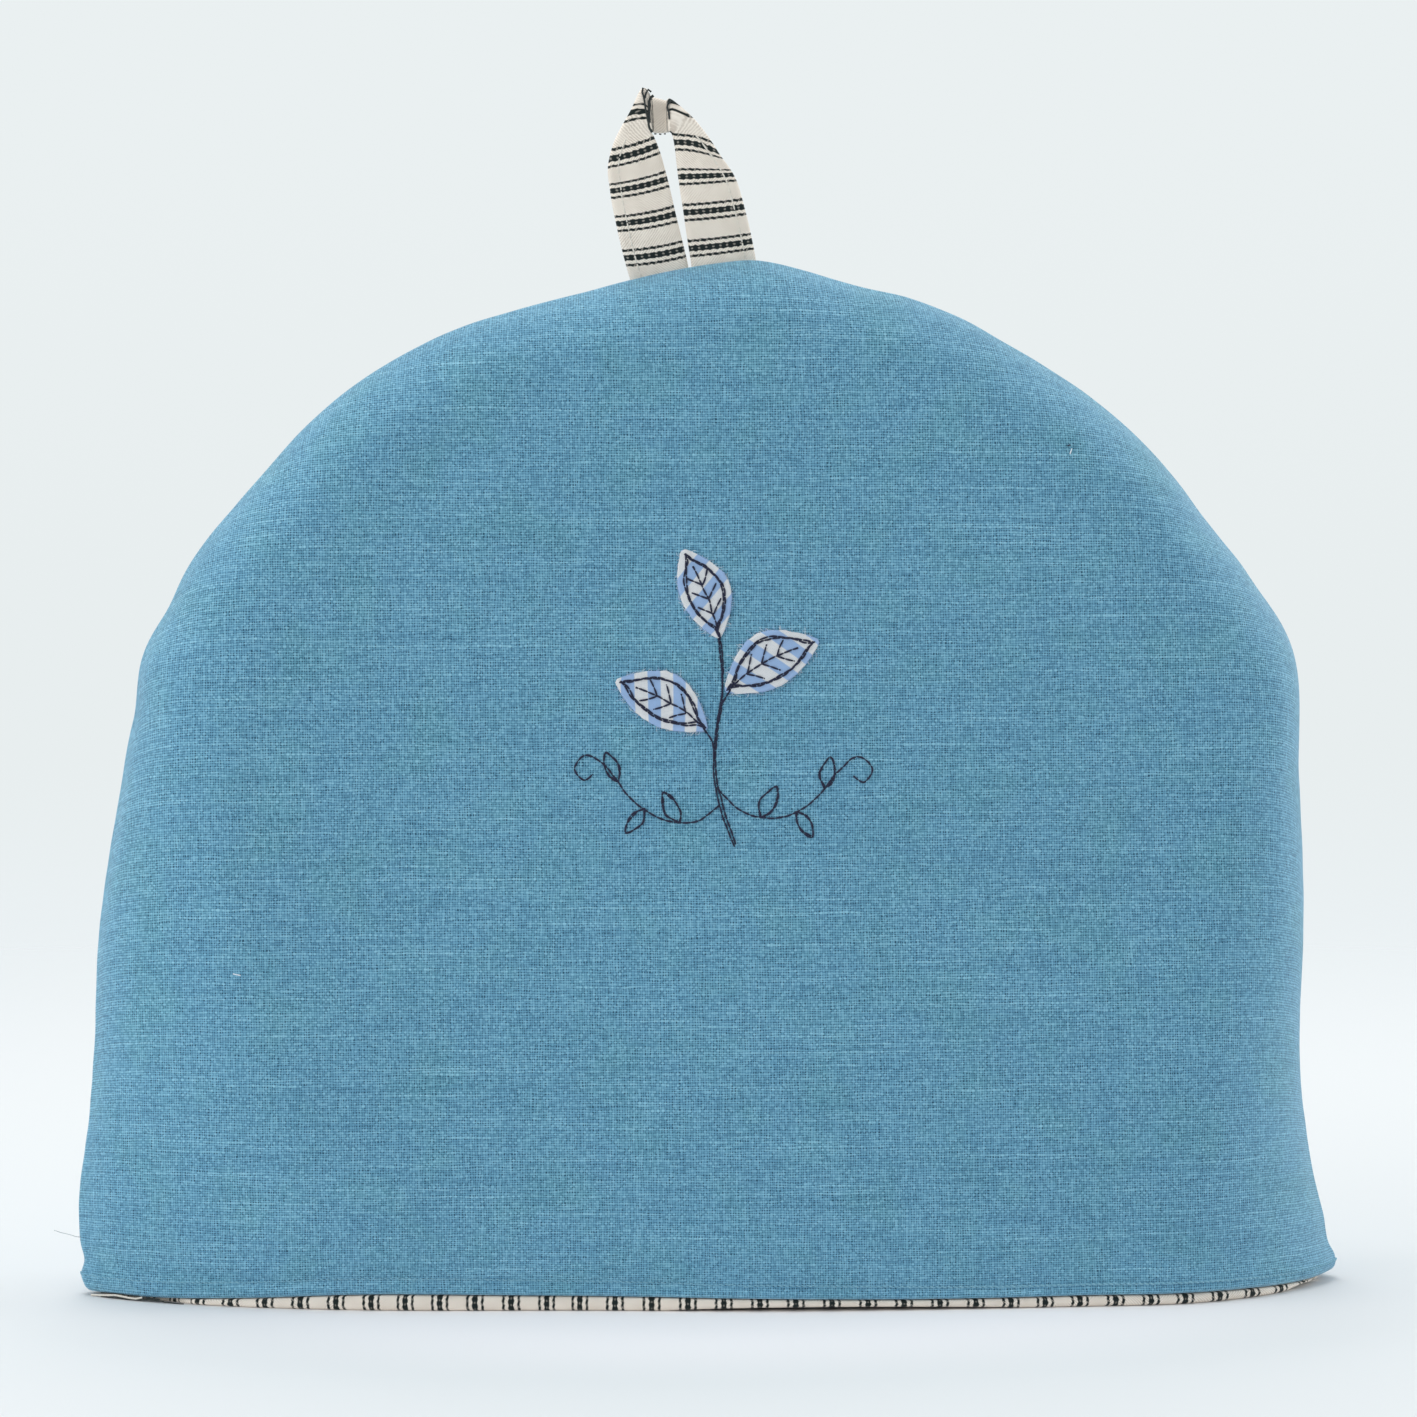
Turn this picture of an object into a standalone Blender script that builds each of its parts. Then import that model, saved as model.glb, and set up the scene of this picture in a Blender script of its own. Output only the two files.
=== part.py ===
"""Quilted tea cosy: two padded linen panels seamed over a striped ticking lining, with a
ticking hanging loop caught in the crown seam and a sprig of three striped cotton leaves.

Frame: +X is the cosy's width, -Y its front, +Z up. The side-and-crown seam lies in the plane
y = 0, and the lining's foot stands on z = 0.
"""
import math
from collections import namedtuple

import bmesh
import bpy
from mathutils import Vector

MM = 0.001

# Whole object
HALF_DEPTH = 44 * MM            # seam plane to the middle of the hem
CROWN_HEIGHT = 277 * MM         # top of the linen, without the loop
CROWN_THINNING = 0.62           # share of the depth lost between hem and crown
THINNING_POWER = 1.25
EDGE_POWER = 0.5                # 0.5 turns the face back to the seam as an ellipse does
HEM_EDGE_POWER = 0.25           # added at the hem, where the two faces meet in a point
HEM_EDGE_FADE = 75 * MM         # height over which that dies away

# Cloth thicknesses, all measured inward from the linen's face
PANEL = 4.0 * MM                # linen over wadding
LINING = 1.6 * MM               # ticking
GAP = 0.3 * MM                  # between pieces that touch
FOOT_INSET = 0.8 * MM           # the ticking below the hem stands this far behind the linen

# Mesh density of each panel and lining half
COLUMNS = 36
ROWS = 20

# Outline of the sewn edge, seen from the front: polar, about the middle of the hem,
# with 0 degrees at the right-hand corner and 180 at the left-hand one
OutlinePoint = namedtuple("OutlinePoint", "angle radius")
OUTLINE = [OutlinePoint(math.radians(angle), radius * MM) for angle, radius in (
    (0.0, 169.1),               # right-hand corner, turned under at the hem
    (1.2, 170.2),
    (3.2, 168.6),
    (10.0, 166.1),              # waist over the corner
    (18.0, 168.6),
    (24.0, 174.7),
    (30.0, 185.3),
    (36.0, 198.1),
    (41.0, 210.8),
    (47.5, 232.8),              # right-hand shoulder
    (53.0, 240.9),
    (58.0, 247.8),
    (64.0, 257.2),
    (76.0, 270.2),              # dip beside the loop
    (88.0, 277.2),              # crown
    (96.0, 271.7),
    (107.0, 266.4),
    (112.0, 261.4),
    (120.0, 249.1),
    (127.0, 238.2),
    (132.0, 229.1),             # left-hand shoulder
    (139.0, 210.1),
    (150.0, 190.8),
    (158.0, 179.5),
    (165.0, 174.1),
    (172.0, 172.1),
    (177.0, 169.4),
    (178.8, 169.4),
    (180.0, 168.4),             # left-hand corner
)]

# How far in from the sewn edge the face starts to turn back to the seam
TurnPoint = namedtuple("TurnPoint", "angle reach")
TURN = [TurnPoint(math.radians(angle), reach * MM) for angle, reach in (
    (0.0, 60.0),
    (18.0, 50.0),
    (45.0, 36.0),
    (90.0, 25.0),
    (120.0, 28.0),
    (145.0, 50.0),
    (165.0, 85.0),
    (180.0, 105.0),
)]

# Share of the depth that each face has across the width: the front bulges right of the middle
SharePoint = namedtuple("SharePoint", "x share")
FRONT_SHARE = [SharePoint(x * MM, share) for x, share in (
    (-170.0, 0.86),
    (-103.0, 0.86),
    (-73.0, 0.87),
    (-34.0, 0.92),
    (0.0, 0.99),
    (45.0, 1.03),
    (110.0, 1.03),
    (170.0, 1.02),
)]
BACK_SHARE = [SharePoint(x * MM, share) for x, share in (
    (-170.0, 0.95),
    (0.0, 1.035),
    (170.0, 0.95),
)]

# Height of the linen's hem over the surface it stands on
HemPoint = namedtuple("HemPoint", "x lift")
HEM = [HemPoint(x * MM, lift * MM) for x, lift in (
    (-171.0, 1.2),
    (-150.0, 1.3),
    (-130.0, 2.3),
    (-100.0, 4.1),
    (-50.0, 4.1),
    (0.0, 4.2),
    (25.0, 3.8),
    (50.0, 3.1),
    (110.0, 3.1),
    (140.0, 2.6),
    (155.0, 2.0),
    (171.0, 1.0),
)]
HEM_LIFT_FADE = 40 * MM         # height over which the lift dies away

# Soft folds in the front: a trough is negative, a swell positive
Fold = namedtuple("Fold", "x z half_length half_width turn depth")
FOLDS = [Fold(x * MM, z * MM, length * MM, width * MM, math.radians(turn), depth * MM)
         for x, z, length, width, turn, depth in (
    (90.0, 107.0, 52.0, 10.0, -7.0, -1.2),      # drag line across the right side
    (110.0, 126.0, 22.0, 9.0, 0.0, -0.9),       # shorter one over it
    (35.0, 249.0, 60.0, 11.0, -8.0, -1.2),      # hollow under the crown
    (-73.0, 226.0, 14.0, 7.0, 60.0, -0.8),      # crease by the left-hand shoulder
    (-20.0, 60.0, 70.0, 45.0, 0.0, 1.2),        # belly over the hem
)]

# Hanging loop: a folded ticking strip, from its left foot over the pleat to its right foot.
# "facing" turns the strip's face from the front towards +X, for the walls of the pleat.
LOOP_THICKNESS = 1.6 * MM
LOOP_EDGE_ROUND = 0.5 * MM      # the folded edges are rounded over this width
LoopStation = namedtuple("LoopStation", "inner_x inner_y inner_z outer_x outer_y outer_z facing")
LOOP = [LoopStation(*(value * MM for value in row[:6]), math.radians(row[6])) for row in (
    (-6.2, 0.0, 271.6, -21.3, 0.0, 268.4, 0),       # left foot, in the seam
    (-6.9, 0.0, 276.0, -22.6, 0.0, 272.4, 0),
    (-7.9, 0.0, 280.3, -24.0, 0.0, 277.3, 0),
    (-10.2, 0.0, 289.6, -26.2, 0.0, 286.6, 0),
    (-12.4, 0.0, 299.0, -27.8, 0.0, 295.4, 0),
    (-14.6, 0.0, 306.6, -28.2, 0.0, 303.4, 0),
    (-15.8, 0.0, 309.6, -26.4, 0.0, 309.4, 0),      # the outer edge turns in to the peak
    (-16.4, 0.0, 310.8, -22.4, 0.0, 316.4, 0),
    (-16.8, 0.0, 311.8, -18.6, 0.0, 322.3, 45),     # front edge of the pleat's left wall
    (-16.8, 2.8, 311.6, -18.2, 5.2, 321.4, 45),     # back edge of it
    (-14.2, 2.8, 311.4, -14.6, 5.6, 320.6, 0),      # floor of the pleat
    (-11.6, 2.8, 311.4, -11.4, 5.2, 319.8, -45),
    (-11.6, 0.0, 311.4, -11.8, 0.0, 320.0, -45),    # front edge of the right wall
    (-11.2, 0.0, 310.6, -6.0, 0.0, 315.6, 0),
    (-10.8, 0.0, 309.2, -2.2, 0.0, 311.2, 0),
    (-10.4, 0.0, 306.8, 1.4, 0.0, 305.8, 0),
    (-9.5, 0.0, 299.0, 5.6, 0.0, 299.6, 0),
    (-8.1, 0.0, 289.6, 8.4, 0.0, 291.0, 0),
    (-6.7, 0.0, 280.3, 10.6, 0.0, 281.6, 0),
    (-6.0, 0.0, 276.0, 11.4, 0.0, 277.2, 0),
    (-5.6, 0.0, 271.6, 11.4, 0.0, 272.2, 0),        # right foot, in the seam
)]

# Where the crown seam opens for the loop's feet
SEAM_OPENING_FROM = -26 * MM
SEAM_OPENING_TO = 17 * MM
SEAM_OPENING_FADE = 30 * MM
SEAM_OPENING_FLOOR = 215 * MM   # height at which the faces begin to feel it
SEAM_OPENING_RISE = 45 * MM

# Sprig of leaves on the front
LEAF_THICKNESS = 1.0 * MM
LEAF_CUT = 0.8 * MM             # width left at a leaf's raw-cut ends
LEAF_FULLNESS = 0.9             # power of the sine that rounds a leaf's sides
LEAF_SEGMENTS = 8
Leaf = namedtuple("Leaf", "name base_x base_z length width turn bend")
LEAVES = [Leaf(name, x * MM, z * MM, length * MM, width * MM, math.radians(turn), bend * MM)
          for name, x, z, length, width, turn, bend in (
    ("leaf_patch_low", -4.5, 153.0, 27.0, 14.5, 152.0, -1.6),
    ("leaf_patch_middle", 0.5, 163.0, 28.0, 15.0, 28.0, 1.8),
    ("leaf_patch_top", -1.0, 177.0, 25.0, 13.5, 112.0, -1.2),
)]

LINEN = (0.128, 0.302, 0.434)
TICKING = (0.775, 0.716, 0.631)
STRIPED_COTTON = (0.43, 0.53, 0.74)
CLOTH_ROUGHNESS = 0.9
SHARP_EDGE = math.radians(50)


def table_slope(table, row):
    """Slope at one row of a two-column table, from its neighbours' spacing."""
    if row == 0 or row == len(table) - 1:
        first = min(row, len(table) - 2)
        return (table[first + 1][1] - table[first][1]) / (table[first + 1][0] - table[first][0])
    before = table[row][0] - table[row - 1][0]
    after = table[row + 1][0] - table[row][0]
    slope_before = (table[row][1] - table[row - 1][1]) / before
    slope_after = (table[row + 1][1] - table[row][1]) / after
    return (slope_before * after + slope_after * before) / (before + after)


def read_table(table, key):
    """Smooth value of a two-column table at a key in its first column."""
    key = min(max(key, table[0][0]), table[-1][0])
    row = 0
    while row < len(table) - 2 and key > table[row + 1][0]:
        row += 1
    span = table[row + 1][0] - table[row][0]
    t = (key - table[row][0]) / span
    start, end = table[row][1], table[row + 1][1]
    slope_start = table_slope(table, row) * span
    slope_end = table_slope(table, row + 1) * span
    return ((2 * t ** 3 - 3 * t ** 2 + 1) * start + (t ** 3 - 2 * t ** 2 + t) * slope_start
            + (3 * t ** 2 - 2 * t ** 3) * end + (t ** 3 - t ** 2) * slope_end)


def smooth_step(value):
    value = min(max(value, 0.0), 1.0)
    return value * value * (3 - 2 * value)


def edge_radius(angle, inset):
    """Radius of the sewn edge, or of the line that runs inset inside it."""
    step = 0.01
    radius = read_table(OUTLINE, angle)
    low, high = max(angle - step, 0.0), min(angle + step, math.pi)
    slope = (read_table(OUTLINE, high) - read_table(OUTLINE, low)) / (high - low)
    return radius - inset * math.hypot(1.0, slope / radius)


def fold_height(x, z):
    """How far the folds push the front's face forward at one place."""
    height = 0.0
    for fold in FOLDS:
        along = (x - fold.x) * math.cos(fold.turn) + (z - fold.z) * math.sin(fold.turn)
        across = (z - fold.z) * math.cos(fold.turn) - (x - fold.x) * math.sin(fold.turn)
        height += fold.depth * math.exp(-(along / fold.half_length) ** 2
                                        - (across / fold.half_width) ** 2)
    return height


def face_depth(x, z, inset, front):
    """Distance from the seam plane to the cosy's face, or to a layer inset behind it."""
    angle = math.atan2(max(z, 0.0), x)
    radius = edge_radius(angle, inset)
    reach = (read_table(TURN, angle) - inset) / radius
    turned = min(max((math.hypot(x, z) / radius - 1 + reach) / reach, 0.0), 1.0)
    height = min(max(z / CROWN_HEIGHT, 0.0), 1.0)
    depth = HALF_DEPTH * (1 - CROWN_THINNING * height ** THINNING_POWER) - inset
    depth *= read_table(FRONT_SHARE if front else BACK_SHARE, x)
    if front:
        depth += fold_height(x, z) * (1 - turned)
    power = EDGE_POWER + HEM_EDGE_POWER * (1 - smooth_step(z / HEM_EDGE_FADE))
    return depth * (1 - turned * turned) ** power


def seam_half_width(x, z):
    """Half the gap between front and back at the seam: wider where the loop goes in."""
    outside = max(SEAM_OPENING_FROM - x, x - SEAM_OPENING_TO, 0.0)
    beside_loop = 1 - smooth_step(outside / SEAM_OPENING_FADE)
    near_crown = smooth_step((z - SEAM_OPENING_FLOOR) / SEAM_OPENING_RISE)
    return GAP / 2 + (LOOP_THICKNESS + GAP) / 2 * beside_loop * near_crown


def face_place(x, z, inset, front):
    """How far a face, or a layer inset behind it, stands from the plane y = 0."""
    return face_depth(x, z, inset, front) + seam_half_width(x, z)


def layer_point(column, row, inset, front):
    """Point of one layer of the cosy, for column in -1..1 and row in 0..1."""
    across = math.sin(math.pi / 2 * column)
    up = (1 - math.cos(math.pi * row)) / 2
    disc_x = across * math.sqrt(1 - up * up / 2)
    disc_z = up * math.sqrt(1 - across * across / 2)
    angle = math.atan2(disc_z, disc_x)
    distance = edge_radius(angle, inset) * math.hypot(disc_x, disc_z)
    x, z = distance * math.cos(angle), distance * math.sin(angle)
    y = face_place(x, z, inset, front)
    lift = read_table(HEM, x) * max(1 - z / HEM_LIFT_FADE, 0.0) ** 2
    return Vector((x, -y if front else y, z + lift))


def add_layer(bm, inset, front):
    """One face of a shell, as a triangulated grid. Returns its four border rows of vertices."""
    grid = bmesh.ops.create_grid(bm, x_segments=COLUMNS, y_segments=ROWS, size=1.0)
    verts = grid["verts"]
    faces = {face for vert in verts for face in vert.link_faces}
    left = [face for face in faces if face.calc_center_median().x < 0]
    right = [face for face in faces if face.calc_center_median().x > 0]
    bottom = sorted((v for v in verts if v.co.y < -0.999), key=lambda v: v.co.x)
    rest = [v for v in verts if v.is_boundary and v not in bottom]
    # the diagonals run through the grid's corners, so no triangle lies flat in the seam
    bmesh.ops.triangulate(bm, faces=left, quad_method="ALTERNATE")
    bmesh.ops.triangulate(bm, faces=right, quad_method="FIXED")
    sewn = [bottom[-1]]
    sewn += sorted((v for v in rest if v.co.x > 0.999), key=lambda v: v.co.y)
    sewn += sorted((v for v in rest if v.co.y > 0.999 and abs(v.co.x) < 0.999),
                   key=lambda v: -v.co.x)
    sewn += sorted((v for v in rest if v.co.x < -0.999), key=lambda v: -v.co.y)
    sewn.append(bottom[0])
    for vert in verts:
        vert.co = layer_point(vert.co.x, (vert.co.y + 1) / 2, inset, front)
    return bottom, sewn


def join_rows(bm, first, second):
    """Strip of quads between two rows of vertices of the same length."""
    for k in range(len(first) - 1):
        bm.faces.new((first[k], first[k + 1], second[k + 1], second[k]))


def finish_piece(name, bm, colour):
    """Turn a bmesh into a named object with its own cloth material."""
    bmesh.ops.recalc_face_normals(bm, faces=bm.faces)
    mesh = bpy.data.meshes.new(name)
    bm.to_mesh(mesh)
    bm.free()
    mesh.shade_smooth()
    mesh.set_sharp_from_angle(angle=SHARP_EDGE)
    material = bpy.data.materials.new(name)
    material.use_nodes = True
    shader = material.node_tree.nodes["Principled BSDF"]
    shader.inputs["Base Color"].default_value = (*colour, 1.0)
    shader.inputs["Roughness"].default_value = CLOTH_ROUGHNESS
    shader.inputs["Metallic"].default_value = 0.0
    mesh.materials.append(material)
    piece = bpy.data.objects.new(name, mesh)
    bpy.context.scene.collection.objects.link(piece)
    return piece


def make_panel(name, front):
    """Linen over wadding: half of the cosy's outside, with the seam as its flat rim."""
    bm = bmesh.new()
    outer_bottom, outer_sewn = add_layer(bm, 0.0, front)
    inner_bottom, inner_sewn = add_layer(bm, PANEL, front)
    join_rows(bm, outer_bottom, inner_bottom)
    join_rows(bm, outer_sewn, inner_sewn)
    return finish_piece(name, bm, LINEN)


def add_foot_row(bm, inset, on_floor, front):
    """Row of vertices along the lining's foot, under the linen's hem."""
    row = []
    for column in range(COLUMNS + 1):
        point = layer_point(2 * column / COLUMNS - 1, 0.0, inset, front)
        point.z = 0.0 if on_floor else point.z - GAP
        row.append(bm.verts.new(point))
    return row


def make_lining(name, front):
    """Ticking: half of the bag inside, with a foot that comes out under the linen's hem."""
    bm = bmesh.new()
    outer_bottom, outer_sewn = add_layer(bm, PANEL + GAP, front)
    inner_bottom, inner_sewn = add_layer(bm, PANEL + GAP + LINING, front)
    for vert in outer_bottom:
        vert.co.z -= GAP
    for vert in inner_bottom:
        vert.co.z = 0.0
    ledge = add_foot_row(bm, FOOT_INSET, False, front)
    sole = add_foot_row(bm, FOOT_INSET, True, front)
    join_rows(bm, outer_bottom, ledge)
    join_rows(bm, ledge, sole)
    join_rows(bm, sole, inner_bottom)
    join_rows(bm, outer_sewn, inner_sewn)
    for end in (0, -1):
        bm.faces.new((outer_bottom[end], ledge[end], sole[end], inner_bottom[end]))
    return finish_piece(name, bm, TICKING)


def loop_section(bm, station):
    """Six points around the strip at one station, its two folded edges slightly rounded."""
    inner = Vector((station.inner_x, station.inner_y, station.inner_z))
    outer = Vector((station.outer_x, station.outer_y, station.outer_z))
    normal = Vector((math.sin(station.facing), -math.cos(station.facing), 0.0))
    half = normal * (LOOP_THICKNESS / 2 / math.cos(station.facing))
    edge = (outer - inner).normalized() * LOOP_EDGE_ROUND
    points = (inner, inner + edge + half, outer - edge + half,
              outer, outer - edge - half, inner + edge - half)
    return [bm.verts.new(point) for point in points]


def make_loop():
    """Hanging loop, both feet in the crown seam and an inverted pleat at its top."""
    bm = bmesh.new()
    sections = [loop_section(bm, station) for station in LOOP]
    for before, after in zip(sections, sections[1:]):
        join_rows(bm, before + before[:1], after + after[:1])
    bm.faces.new(sections[0])
    bm.faces.new(sections[-1])
    bmesh.ops.triangulate(bm, faces=bm.faces)
    return finish_piece("top_loop", bm, TICKING)


def leaf_point(leaf, along, across):
    """Place on the cosy's face of one point of a leaf, along 0..1 and across -1..1."""
    fullness = math.sin(math.pi * along) ** LEAF_FULLNESS
    half_width = LEAF_CUT / 2 + (leaf.width - LEAF_CUT) / 2 * fullness
    forward = leaf.length * along
    sideways = across * half_width + leaf.bend * math.sin(math.pi * along)
    x = leaf.base_x + forward * math.cos(leaf.turn) - sideways * math.sin(leaf.turn)
    z = leaf.base_z + forward * math.sin(leaf.turn) + sideways * math.cos(leaf.turn)
    return Vector((x, -face_place(x, z, 0.0, True) - GAP, z))


def make_leaf(leaf):
    """Striped cotton leaf, laid on the front panel."""
    bm = bmesh.new()
    bmesh.ops.create_grid(bm, x_segments=LEAF_SEGMENTS, y_segments=2, size=1.0)
    for vert in bm.verts:
        vert.co = leaf_point(leaf, (vert.co.x + 1) / 2, vert.co.y)
    top = bmesh.ops.extrude_face_region(bm, geom=list(bm.faces), use_keep_orig=True)
    raised = [element for element in top["geom"] if isinstance(element, bmesh.types.BMVert)]
    bmesh.ops.translate(bm, verts=raised, vec=(0.0, -LEAF_THICKNESS, 0.0))
    bmesh.ops.triangulate(bm, faces=bm.faces)
    return finish_piece(leaf.name, bm, STRIPED_COTTON)


def main():
    for item in list(bpy.data.objects):
        bpy.data.objects.remove(item, do_unlink=True)
    make_panel("front_panel", True)
    make_panel("back_panel", False)
    make_lining("lining_front", True)
    make_lining("lining_back", False)
    make_loop()
    for leaf in LEAVES:
        make_leaf(leaf)


main()
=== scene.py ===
import random
from bisect import bisect_right
from math import acos, asin, atan2, cos, dist, exp, hypot, pi, radians, sin, sqrt

import bmesh
import bpy
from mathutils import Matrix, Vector, noise


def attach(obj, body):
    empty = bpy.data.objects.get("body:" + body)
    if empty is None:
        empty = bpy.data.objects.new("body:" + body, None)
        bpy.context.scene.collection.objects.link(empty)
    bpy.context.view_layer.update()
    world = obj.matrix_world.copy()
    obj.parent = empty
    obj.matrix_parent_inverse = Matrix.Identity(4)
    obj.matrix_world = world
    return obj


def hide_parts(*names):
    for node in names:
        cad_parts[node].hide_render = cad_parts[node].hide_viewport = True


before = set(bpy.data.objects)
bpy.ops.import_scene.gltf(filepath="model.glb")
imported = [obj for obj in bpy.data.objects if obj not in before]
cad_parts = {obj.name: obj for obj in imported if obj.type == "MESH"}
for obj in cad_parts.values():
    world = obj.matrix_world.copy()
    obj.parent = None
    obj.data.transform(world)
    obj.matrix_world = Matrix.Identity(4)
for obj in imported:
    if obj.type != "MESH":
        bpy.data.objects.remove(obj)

mm = 0.001
scene = bpy.context.scene
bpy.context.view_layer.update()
print("stage: frame loaded")


# Small tools

def smoothTable(rows, keyUnit, valueUnit):  # gives a function that runs smoothly through the rows
    keys = [row[0] * keyUnit for row in rows]
    values = [row[1] * valueUnit for row in rows]
    steps = [(values[k + 1] - values[k]) / (keys[k + 1] - keys[k]) for k in range(len(keys) - 1)]
    slopes = [steps[0]]
    for k in range(1, len(keys) - 1):
        before, after = keys[k] - keys[k - 1], keys[k + 1] - keys[k]
        slopes.append((steps[k - 1] * after + steps[k] * before) / (before + after))
    slopes.append(steps[-1])

    def read(key):
        key = clamp(key, keys[0], keys[-1])
        row = clamp(bisect_right(keys, key) - 1, 0, len(keys) - 2)
        span = keys[row + 1] - keys[row]
        t = (key - keys[row]) / span
        ease = t * t * (3 - 2 * t)
        return (values[row] * (1 - ease) + values[row + 1] * ease
                + span * t * (1 - t) * ((1 - t) * slopes[row] - t * slopes[row + 1]))

    return read


def smoothStep(value):
    value = clamp(value, 0, 1)
    return value * value * (3 - 2 * value)


def clamp(value, low, high):
    return min(max(value, low), high)


def soft(x, z, size, layer=0):  # smooth noise, -1..1, one swell per "size"
    return noise.noise(Vector((x / size, z / size, layer)))


def bell(value):  # 1 at 0, fading to both sides
    return exp(-value * value)


def rotated(forward, sideways, degrees):  # to x and z, for a line turned by so many degrees
    c, s = cos(radians(degrees)), sin(radians(degrees))
    return forward * c - sideways * s, forward * s + sideways * c


def pushed(x, z, out):  # moved away from the middle of the hem
    share = 1 + out / max(hypot(x, z), 1e-9)
    return x * share, z * share


# Shape of the cosy, shared by all its cloths

cosy = {
    "rollFrom": 12 * mm,  # the crown's padding swells this far in from the seam
    "rollHalf": 6.5 * mm,
    "halfDepth": 44 * mm,
    "crownHeight": 277 * mm,
    "crownThinning": 0.62,
    "thinningPower": 1.25,
    "edgePower": 0.5,
    "hemEdgePower": 0.25,  # the two faces meet in a point at the hem
    "hemEdgeFade": 75 * mm,
    "gap": 0.08 * mm,  # between the two faces, along the seam
    "hemLiftFade": 40 * mm,
    "seamOpeningFrom": -26 * mm,  # the crown seam opens here for the loop's feet
    "seamOpeningTo": 17 * mm,
    "seamOpeningFade": 15 * mm,
    "seamOpeningFloor": 215 * mm,
    "seamOpeningRise": 45 * mm,
    "loopThickness": 2 * mm,
}
outline = smoothTable([  # degrees round the hem's middle, radius in mm
    (0, 169), (0.65, 170.4), (1.6, 170.5), (2.9, 168.9), (5.8, 167.9), (10, 166.6),
    (18, 168.7), (24, 174.8), (30, 185.4), (36, 198.1), (41, 210.8), (47.5, 232.8),
    (53, 240.8), (58, 247.4), (60, 251.1), (64, 257.2), (70, 263.9), (73, 266.8),
    (76, 270.1), (79, 272), (82, 272.9), (85, 275.3), (88, 277.2), (90, 276.1),
    (92, 274.7), (96, 271.5), (107, 266.1), (112, 261.3), (120, 248.8),
    (127, 238.1), (128, 235.8), (132, 229.1), (135, 219.5), (136, 217.3),
    (139, 210.2), (150, 190.6), (158, 179.4), (165, 174.3), (172, 173),
    (175.5, 171.4), (177.2, 170.2), (178.5, 170.9), (180, 169.4)], radians(1), mm)
turn = smoothTable([  # how far in from the seam the face starts to turn
    (0, 60), (18, 50), (45, 36), (90, 25), (120, 28), (145, 50),
    (165, 85), (180, 105)], radians(1), mm)
frontShare = smoothTable([  # each face's depth across the width
    (-170, 0.86), (-103, 0.86), (-73, 0.87), (-34, 0.92), (0, 0.99), (45, 1.03),
    (110, 1.03), (170, 1.02)], mm, 1)
backShare = smoothTable([(-170, 0.95), (0, 1.035), (170, 0.95)], mm, 1)
crownRoll = smoothTable([  # padding that swells beside the crown seam
    (0, 0), (30, 0.3), (45, 0.8), (60, 1.2), (90, 1.2), (120, 1), (140, 0.7),
    (160, 0), (180, 0)], radians(1), mm)
hemLift = smoothTable([  # linen's hem over the floor
    (-171, 1.2), (-150, 1.3), (-130, 2.3), (-100, 4.1), (-50, 4.1), (0, 3.5),
    (25, 3.2), (50, 2.9), (110, 3.1), (140, 2.7),
    (154, 2.2), (161, 2), (164.5, 2), (167, 2), (171, 2)], mm, mm)
folds = [  # x, z, half length, half width, turn in degrees, height; all else in mm
    (90, 107, 52, 10, -7, -1.2),  # drag line across the right side
    (110, 126, 22, 9, 0, -0.9),
    (35, 251, 62, 10, -8, -1.7),  # hollow under the crown
    (108, 203, 26, 11, -46, -1),  # and under the right shoulder
    (-73, 226, 14, 7, 60, -0.8),  # crease by the left-hand shoulder
    (-20, 60, 70, 45, 0, 1.2),  # belly over the hem
    (28, 0, 55, 30, 0, 2.6),  # the hem stands forward here
]
fineFolds = [  # smaller ones that only the linen shows
    (104, 127.5, 26, 2.6, 1, -0.45),
    (88, 109.5, 48, 3.2, -6.5, -0.5),
    (96, 103.5, 40, 3, -8, 0.35),
    (150, 38, 13, 2.4, 12, 0.5),
    (152, 30, 15, 2.6, 8, -0.35),
    (-72, 226, 10, 2.2, 62, -0.4),
    (58, 262, 12, 4, -25, -0.7),  # hollow by the loop's right foot
    (-60, 250, 20, 5, 25, -0.3),
    (128, 14, 40, 6, 6, -0.5),
    (-150, 22, 12, 4, -8, -0.4),
]


def edgeRadius(angle, inset):
    step = 0.01
    radius = outline(angle)
    low, high = max(angle - step, 0), min(angle + step, pi)
    slope = (outline(high) - outline(low)) / (high - low)
    return radius - inset * hypot(1, slope / radius)


def foldHeight(rows, x, z):
    height = 0
    for foldX, foldZ, halfLength, halfWidth, degrees, depth in rows:
        along, across = rotated(x / mm - foldX, z / mm - foldZ, -degrees)
        along, across = along / halfLength, across / halfWidth
        if abs(along) < 3 and abs(across) < 3:
            height += depth * mm * bell(along) * bell(across)
    return height


def faceProfile(x, z, inset, front):  # flat depth at a place, and how far it has turned
    angle = atan2(max(z, 0), x)
    radius = edgeRadius(angle, inset)
    reach = (turn(angle) - inset) / radius
    turned = clamp((hypot(x, z) / radius - 1 + reach) / reach, 0, 1)
    height = clamp(z / cosy["crownHeight"], 0, 1)
    depth = cosy["halfDepth"] * (1 - cosy["crownThinning"] * height ** cosy["thinningPower"])
    depth = (depth - inset) * (frontShare if front else backShare)(x)
    return depth, turned, reach * radius


def seamHalfWidth(x, z):
    outside = max(cosy["seamOpeningFrom"] - x, x - cosy["seamOpeningTo"], 0)
    besideLoop = 1 - smoothStep(outside / cosy["seamOpeningFade"])
    nearCrown = smoothStep((z - cosy["seamOpeningFloor"]) / cosy["seamOpeningRise"])
    opening = (cosy["loopThickness"] + cosy["gap"]) / 2
    return cosy["gap"] / 2 + opening * besideLoop * nearCrown


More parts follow.
